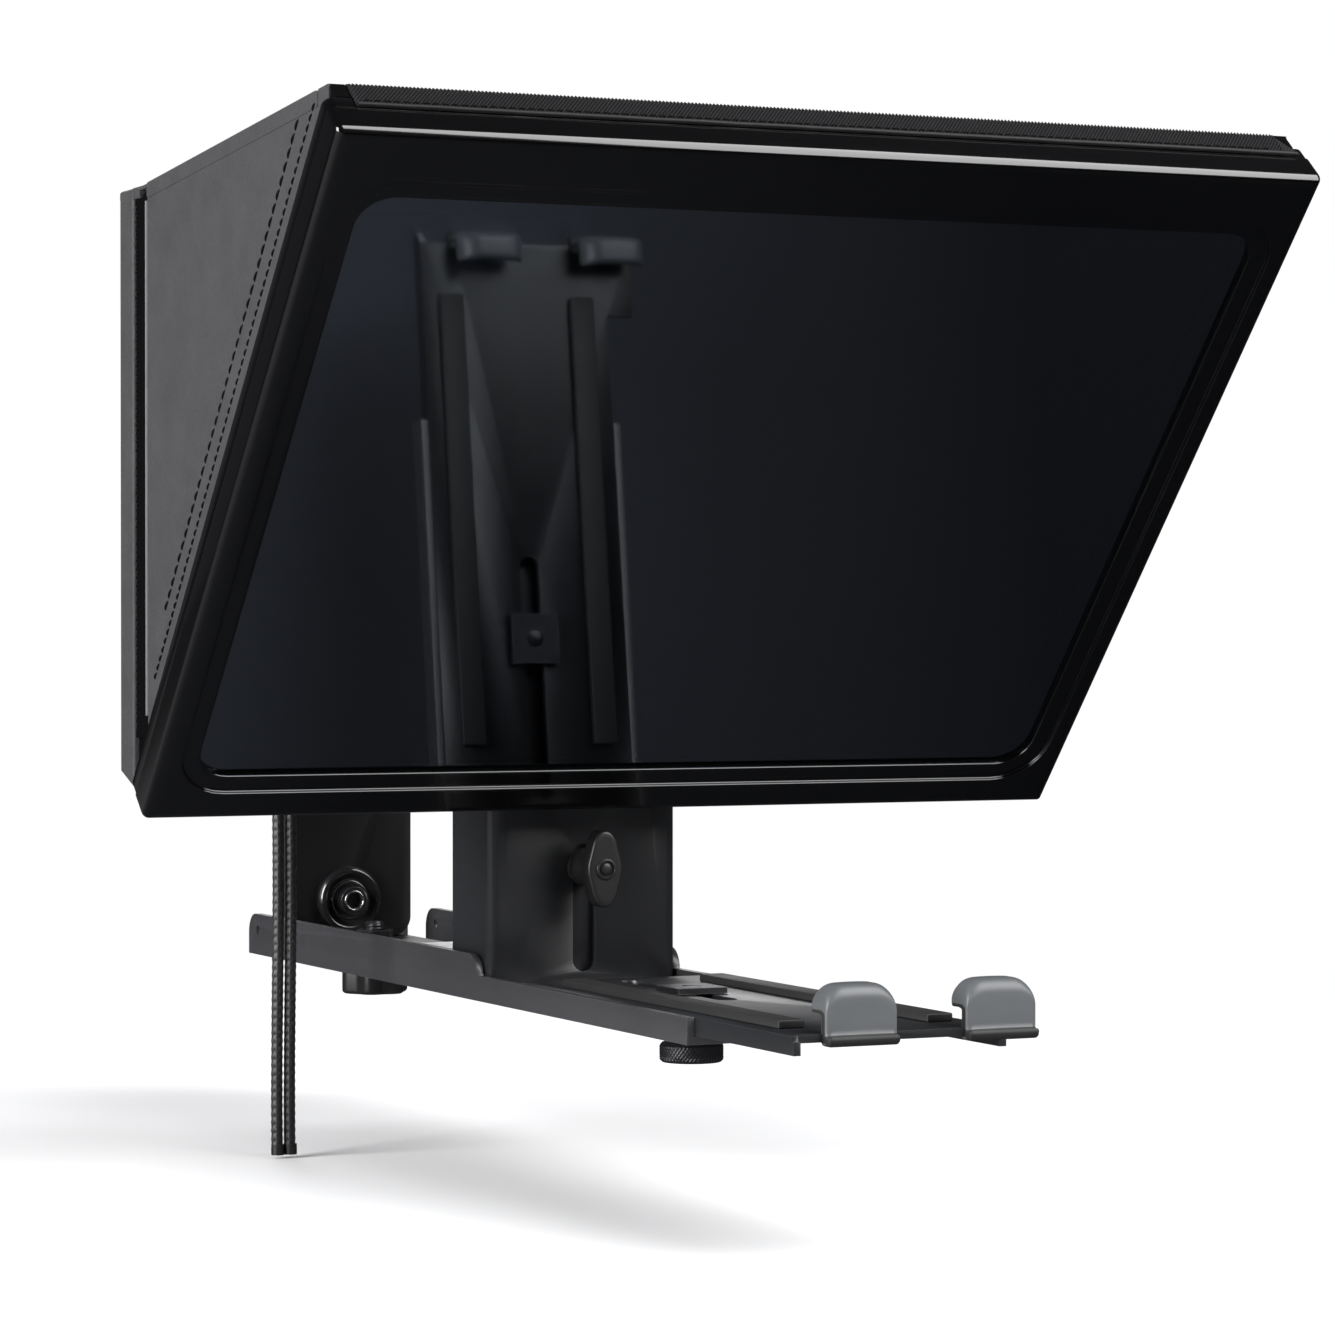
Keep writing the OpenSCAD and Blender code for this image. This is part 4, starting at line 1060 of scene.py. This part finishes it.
def hook_cover(centre_x, name_end):
    """One soft rubber cover: a foot, and a grey tab that curls back over the tablet's edge.

    The foot and both side ends are near black: painted shade on the lower curve and the sides.
    """
    low, high = hooks_low.z, hooks_high.z
    front, back = hooks_low.y - 0.25, hooks_high.y
    wall, bend, tip_r = 3.2, 3.4, 1.55
    foot_top, foot_out = low + 2.4, 1.8
    inner_z = high - 2 * tip_r
    outline = [(front + 0.6, low), (front - 0.7, low), (front - 1.5, low + 0.5),
               (front - foot_out, low + 1.5), (front - foot_out, foot_top - 0.5),
               (front - foot_out + 0.4, foot_top), (front - 0.3, foot_top)]
    foot_points = len(outline)
    outline += [(front, foot_top + 0.3 + (high - bend - foot_top - 0.3) * k / 6) for k in range(6)]
    outline += [(front + bend * (1 - math.cos(a)), high - bend + bend * math.sin(a))
                for a in quarter(7)]
    outline += [(front + bend + (back - tip_r - front - bend) * k / 3, high) for k in (1, 2)]
    outline += [(back - tip_r + tip_r * math.sin(a), high - tip_r + tip_r * math.cos(a))
                for a in (math.pi * k / 7 for k in range(8))]
    inside = front + wall
    outline += [(inside + 0.9, inner_z), (inside + 0.25, inner_z - 0.25), (inside, inner_z - 0.9),
                (inside, low + 1.0), (inside - 0.3, low + 0.3), (inside - 1.0, low)]
    outline = [Vector(p) for p in outline]
    half, corner, edge = HOOK_W / 2, 5.2, 0.8
    work = bmesh.new()
    rings = []
    stations = 36
    for i in range(stations + 1):
        across = half * math.sin(math.pi * (i / stations - 0.5))
        side_in = max(0.0, abs(across) - (half - corner))
        drop = corner - math.sqrt(corner ** 2 - side_in ** 2) + 0.5 * (across / half) ** 2
        round_in = max(0.0, abs(across) - (half - edge))
        inset = edge - math.sqrt(max(0.0, edge ** 2 - round_in ** 2))
        ring = []
        for y, z in inset_outline(outline, inset):
            share = max(0.0, min(1.0, (z - foot_top) / (high - foot_top)))
            ring.append(Vector((centre_x + across, y, z - drop * share)))
        rings.append(ring)
    made = skin(work, rings)
    # Near black on the foot and, just below, on both side ends: painted shade on the lower curve and sides.
    for number, face in enumerate(work.faces):
        face.material_index = 1 if number % len(outline) < foot_points else 0
    for end in (made[0], made[-1]):
        cap(work, end, 1)
    return mesh_object("hook_cover_" + name_end, work, ["grey_rubber", "black_rubber"], "tray", sharp=50)


left_hook = hook_cover(hooks_low.x + HOOK_W / 2, "left")
hook_cover(hooks_high.x - HOOK_W / 2, "right")
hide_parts("hook_covers")


def wing_knob():
    """A moulded wing: an oval with softened edges on a round hub, a ring and a cap in its middle."""
    low, high = box_mm("wing_knob")
    half_w, half_h = high.x, (high.z - low.z) / 2
    axis_z = (low.z + high.z) / 2
    cap_h = 0.7
    front = low.y + cap_h
    wing_l = 6.0
    work = bmesh.new()

    end_r = 3.1
    reach = half_h - end_r
    flank = math.asin((half_w - end_r) / reach)

    def oval(inset, y):
        """A round middle and two round ends, joined by nearly straight flanks."""
        ring = []
        for i in range(96):
            angle = TURN * (i + 0.5) / 96
            towards_end = abs(math.sin(angle)) > math.sin(flank)
            middle = math.copysign(reach, math.sin(angle)) if towards_end else 0.0
            r = (end_r if towards_end else half_w) - inset
            straight = Vector((r * math.cos(angle), middle + r * math.sin(angle)))
            bulge = Vector(((half_w - inset) * math.cos(angle), (half_h - inset) * math.sin(angle)))
            p = straight.lerp(bulge, 0.45)
            ring.append(Vector((p.x, y, axis_z + p.y)))
        return ring

    edge = 0.9
    rings = [oval(2.2, front + wing_l), oval(0.5, front + wing_l - 0.1), oval(0.12, front + wing_l - 0.5)]
    rings += [oval(edge * (1 - math.cos(a)), front + edge * (1 - math.sin(a))) for a in quarter(5)]
    rings.append(oval(1.8, front - 0.05))
    rings.append(oval(2.0, front - 0.05))
    made = skin(work, rings)
    for end in (made[0], made[-1]):
        cap(work, end)
    hub = [(4.4, 0.0), (5.0, 0.6), (5.0, 3.0), (4.6, high.y - front - wing_l)]
    lathe(work, facing(0, high.y, axis_z), hub, 40)
    ring = [(2.15, -0.4), (2.15, 0.5), (2.3, 0.7), (2.6, 0.72), (2.85, 0.55), (2.95, 0.2), (2.95, -0.4)]
    lathe(work, facing(0, front, axis_z), ring, 48, closed=True)
    button = [(1.75, -0.4), (1.75, 0.2), (1.6, 0.42), (1.0, 0.58), (0.3, 0.62)]
    lathe(work, facing(0, front, axis_z), button, 36)
    piece = mesh_object("wing_knob_moulded", work, ["black_plastic"], "wing_knob", sharp=45)
    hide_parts("wing_knob")


wing_knob()


def diamonds(count, lead, depth):
    """Cross-cut knurling: two families of grooves that cross."""
    def ripple(angle, radius, height):
        a = math.sin(count * angle + lead * height)
        b = math.sin(count * angle - lead * height)
        return -depth * (1 - abs(a)) - depth * (1 - abs(b))
    return ripple


def knurled_grip(work, place, under, grip_r, grip, knurl, hole_r):
    """A grip with chamfered rims. under starts its lower face, and knurl is (count, lead, depth)."""
    pattern = diamonds(*knurl)
    edge = 0.7
    profile = under + [(grip_r - edge, 0.0), (grip_r, edge)]
    profile += [(grip_r, edge + (grip - 2 * edge) * k / 12) for k in range(1, 13)]
    profile += [(grip_r - edge, grip), (hole_r, grip)]

    def ripple(angle, radius, height):
        return pattern(angle, radius, height) if radius > grip_r - 0.01 else 0.0

    lathe(work, place, profile, knurl[0] * 8, ripple)


def tray_knob():
    """The knurled screw under the tray, with the plain shaft above its grip."""
    low, high = box_mm("tray_knob")
    x, y = centre_xy(low, high)
    grip, grip_r = 5.0, 8.4
    shaft_h = high.z - low.z
    work = bmesh.new()
    knurled_grip(work, upright(x, y, low.z), [(grip_r - 2.6, 0.35), (grip_r - 2.3, 0.0)], grip_r, grip,
                 (26, 2.4, 0.28), 4.0)
    shaft = [(4.0, 0.0), (4.0, 5.5), (3.8, 5.8), (2.5, 5.85), (2.5, shaft_h - 5.2), (2.2, shaft_h - 5.0)]
    lathe(work, upright(x, y, low.z + grip - 0.02), shaft, 40)
    piece = mesh_object("tray_knob_knurled", work, ["black_oxide_steel"], "tray_knob", sharp=50)
    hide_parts("tray_knob")


tray_knob()


def thread_ripple(radius, pitch, depth, from_height):
    """A screw thread: a groove that climbs one pitch in each turn."""
    def ripple(angle, r, height):
        if r < radius - 0.01 or height < from_height:
            return 0.0
        phase = (height / pitch - angle / TURN) % 1.0
        return -depth * (1 - abs(2 * phase - 1))
    return ripple


def camera_screw():
    """The captive screw: knurled grip, thin shank and a quarter-inch thread."""
    low, high = box_mm("camera_screw")
    grip, shank_r, thread_r, thread_h = 6.0, 2.6, 3.175, 4.5
    reach = high.z - low.z - grip
    start = reach - thread_h
    steps = 36
    threaded = [(thread_r, start + 0.02 + (thread_h - 0.4) * k / steps) for k in range(steps + 1)]
    shaft = [(shank_r, 0.0), (shank_r, start)] + threaded + [(2.5, reach)]
    x, y = centre_xy(low, high)
    work = bmesh.new()
    lathe(work, upright(x, y, low.z + grip), shaft, 48, thread_ripple(thread_r, 1.27, 0.55, start))
    knurled_grip(work, upright(x, y, low.z), [(2.6, 1.2), (7.2, 1.0), (7.8, 0.0)], high.x, grip,
                 (30, 2.2, 0.25), shank_r - 0.5)
    piece = mesh_object("camera_screw_threaded", work, ["black_oxide_steel"], "camera_screw", sharp=50)
    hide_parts("camera_screw")


camera_screw()


def carriage_knob():
    """A six-lobed plastic knob with a softened rim and a steel stud."""
    low, high = box_mm("carriage_knob")
    x, y = centre_xy(low, high)
    grip, r, lobe = 9.0, 9.6, 0.9

    def ripple(angle, radius, height):
        return lobe * math.cos(6 * angle) * min(1.0, radius / r) ** 3

    profile = [(3.0, 0.6), (5.2, 0.5), (5.8, 0.0), (r - 1.2, 0.0)]
    profile += [(r - 1.2 + 1.2 * math.sin(a), 1.2 - 1.2 * math.cos(a)) for a in quarter(5, 1)]
    profile += [(r, grip - 1.0)]
    profile += [(r - 1.0 + math.cos(a), grip - 1.0 + math.sin(a)) for a in quarter(5, 1)]
    profile += [(6.2, grip), (6.0, grip + 0.3), (6.0, grip + 1.9)]
    work = bmesh.new()
    lathe(work, upright(x, y, low.z), profile, 144, ripple)
    stud_r = 3.0
    stud_top = high.z - low.z
    stud = [(stud_r, grip + 1.5)]
    stud += [(stud_r, grip + 2.2 + (stud_top - grip - 2.8) * k / 60) for k in range(61)]
    stud += [(2.4, stud_top)]
    lathe(work, upright(x, y, low.z), stud, 36, thread_ripple(stud_r, 1.0, 0.35, grip + 2.2), material=1)
    piece = mesh_object("carriage_knob_moulded", work, ["black_plastic", "black_oxide_steel"],
                        "carriage_knob", sharp=45)
    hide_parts("carriage_knob")


carriage_knob()


def riser_washer():
    """The dished washer behind the camera upright's screw, with a rolled rim."""
    low, high = box_mm("riser_washer")
    axis_z = (low.z + high.z) / 2
    outer = high.x
    profile = [(3.0, 0.0), (outer - 0.3, 0.0), (outer, 0.3), (outer, 1.4)]
    profile += [(outer - 1.5 + 1.5 * math.cos(a), 1.4 + 1.9 * math.sin(a)) for a in quarter(6, 1)]
    profile += [(outer - 2.1, 3.1), (outer - 2.9, 2.2), (outer - 3.5, 1.6), (outer - 4.0, 1.45),
                (outer - 4.2, 1.9), (outer - 4.6, 2.0), (outer - 4.9, 1.3), (3.0, 1.2)]
    work = bmesh.new()
    lathe(work, facing(0, high.y, axis_z), profile, 96, closed=True)
    piece = mesh_object("riser_washer_dished", work, ["polished_black_steel"], "camera_platform",
                        sharp=60)
    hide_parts("riser_washer")


riser_washer()


def socket_glint_ring():
    """A ring of bright steel round the riser screw's hexagon socket: a painted glint on its chamfer."""
    low, high = box_mm("riser_screw")
    axis_z = (low.z + high.z) / 2
    profile = [(2.62, -0.3), (2.62, 0.0), (2.8, 0.14), (3.1, 0.1), (3.25, -0.05), (3.25, -0.3)]
    work = bmesh.new()
    lathe(work, facing(0, low.y, axis_z), profile, 48, closed=True)
    mesh_object("riser_screw_glint_ring", work, ["bright_steel"], "camera_platform", sharp=60)


socket_glint_ring()


# ------------------------------------------------------------ floor, light and camera


def pale_floor():
    """A pale plain floor that fades into the white background.

    In mirror reflections it is a dark table near the object and a dim room further away.
    """
    size = 9.0
    z = min(cad_box[0].z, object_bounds()[0].z) - 0.001
    mesh = bpy.data.meshes.new("floor")
    mesh.from_pydata([(-size, -size, z), (size, -size, z), (size, size, z), (-size, size, z)], [],
                     [(0, 1, 2, 3)])
    material = bpy.data.materials.new("pale_floor")
    material.use_nodes = True
    tree = material.node_tree
    principled = tree.nodes["Principled BSDF"]
    path = add(tree, "LightPath").outputs
    coords = add(tree, "TexCoord").outputs["Object"]
    away = add(tree, "VectorMath", {0: coords}, operation="LENGTH").outputs["Value"]
    far = add(tree, "MapRange", {"Value": away, "From Min": 0.30, "From Max": 0.62}).outputs["Result"]
    pale = mixed(tree, noise_value(tree, coords, 0.004), (0.86, 0.86, 0.87, 1), (0.90, 0.90, 0.90, 1))
    x = add(tree, "SeparateXYZ", {"Vector": coords}).outputs["X"]
    right = add(tree, "MapRange", {"Value": x, "From Min": -0.12, "From Max": 0.2}).outputs["Result"]
    left = add(tree, "MapRange", {"Value": x, "From Min": -0.22, "From Max": -0.45}).outputs["Result"]
    table = mixed(tree, right, (0.070, 0.073, 0.084, 1), (0.010, 0.011, 0.014, 1))
    mirror = mixed(tree, left, table, (0.16, 0.16, 0.165, 1))
    tree.links.new(mixed(tree, path["Is Glossy Ray"], pale, mirror), principled.inputs["Base Color"])
    principled.inputs["Roughness"].default_value = 0.7
    principled.inputs["Specular IOR Level"].default_value = 0.1
    white = add(tree, "Emission", {"Color": (1, 1, 1, 1)})
    seen_far = combined(tree, "MULTIPLY", far, path["Is Camera Ray"])
    both = add(tree, "MixShader", {0: seen_far, 1: principled.outputs[0], 2: white.outputs[0]})
    tree.links.new(both.outputs[0], tree.nodes["Material Output"].inputs["Surface"])
    mesh.materials.append(material)
    floor = bpy.data.objects.new("floor", mesh)
    bpy.context.scene.collection.objects.link(floor)
    floor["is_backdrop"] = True


def softbox(name, place, target, width, height, power, color=(1, 1, 1)):
    """A rectangular soft light aimed at a point, both in millimetres."""
    light = bpy.data.lights.new(name, "AREA")
    light.shape = "RECTANGLE"
    light.size, light.size_y = width * MM, height * MM
    light.energy = power
    light.color = color
    lamp = bpy.data.objects.new(name, light)
    bpy.context.scene.collection.objects.link(lamp)
    lamp.location = Vector(place) * MM
    aim = (Vector(target) - Vector(place)).normalized()
    lamp.rotation_euler = aim.to_track_quat("-Z", "Y").to_euler()


def studio_world():
    """White behind the object, and a dimmer room in reflections and fill light."""
    world = bpy.data.worlds.new("studio")
    bpy.context.scene.world = world
    world.use_nodes = True
    tree = world.node_tree
    background = tree.nodes["Background"]
    path = add(tree, "LightPath").outputs
    room = mixed(tree, path["Is Glossy Ray"], (0.16, 0.16, 0.17, 1), (0.05, 0.05, 0.055, 1))
    tree.links.new(mixed(tree, path["Is Camera Ray"], room, (1, 1, 1, 1)), background.inputs["Color"])


pale_floor()
studio_world()
softbox("left_softbox", (-1300, -300, 480), (-130, -110, 140), 700, 900, 32)
softbox("front_softbox", (560, -820, 900), (0, -190, 200), 900, 1300, 28)
softbox("rear_softbox", (300, 1250, 750), (0, 60, 100), 900, 600, 8)

CAMERA_AT = (-478.8, -1129.0, 105.0)
CAMERA_YAW, CAMERA_PITCH = 24.98, -0.69
camera_data = bpy.data.cameras.new("camera")
camera_data.sensor_width = 36.0
camera_data.lens = 116.5
camera = bpy.data.objects.new("camera", camera_data)
bpy.context.scene.collection.objects.link(camera)
camera.location = Vector(CAMERA_AT) * MM
camera.rotation_euler = (math.radians(90 + CAMERA_PITCH), 0, math.radians(-CAMERA_YAW))
bpy.context.scene.camera = camera
bpy.context.scene.view_settings.view_transform = "Standard"
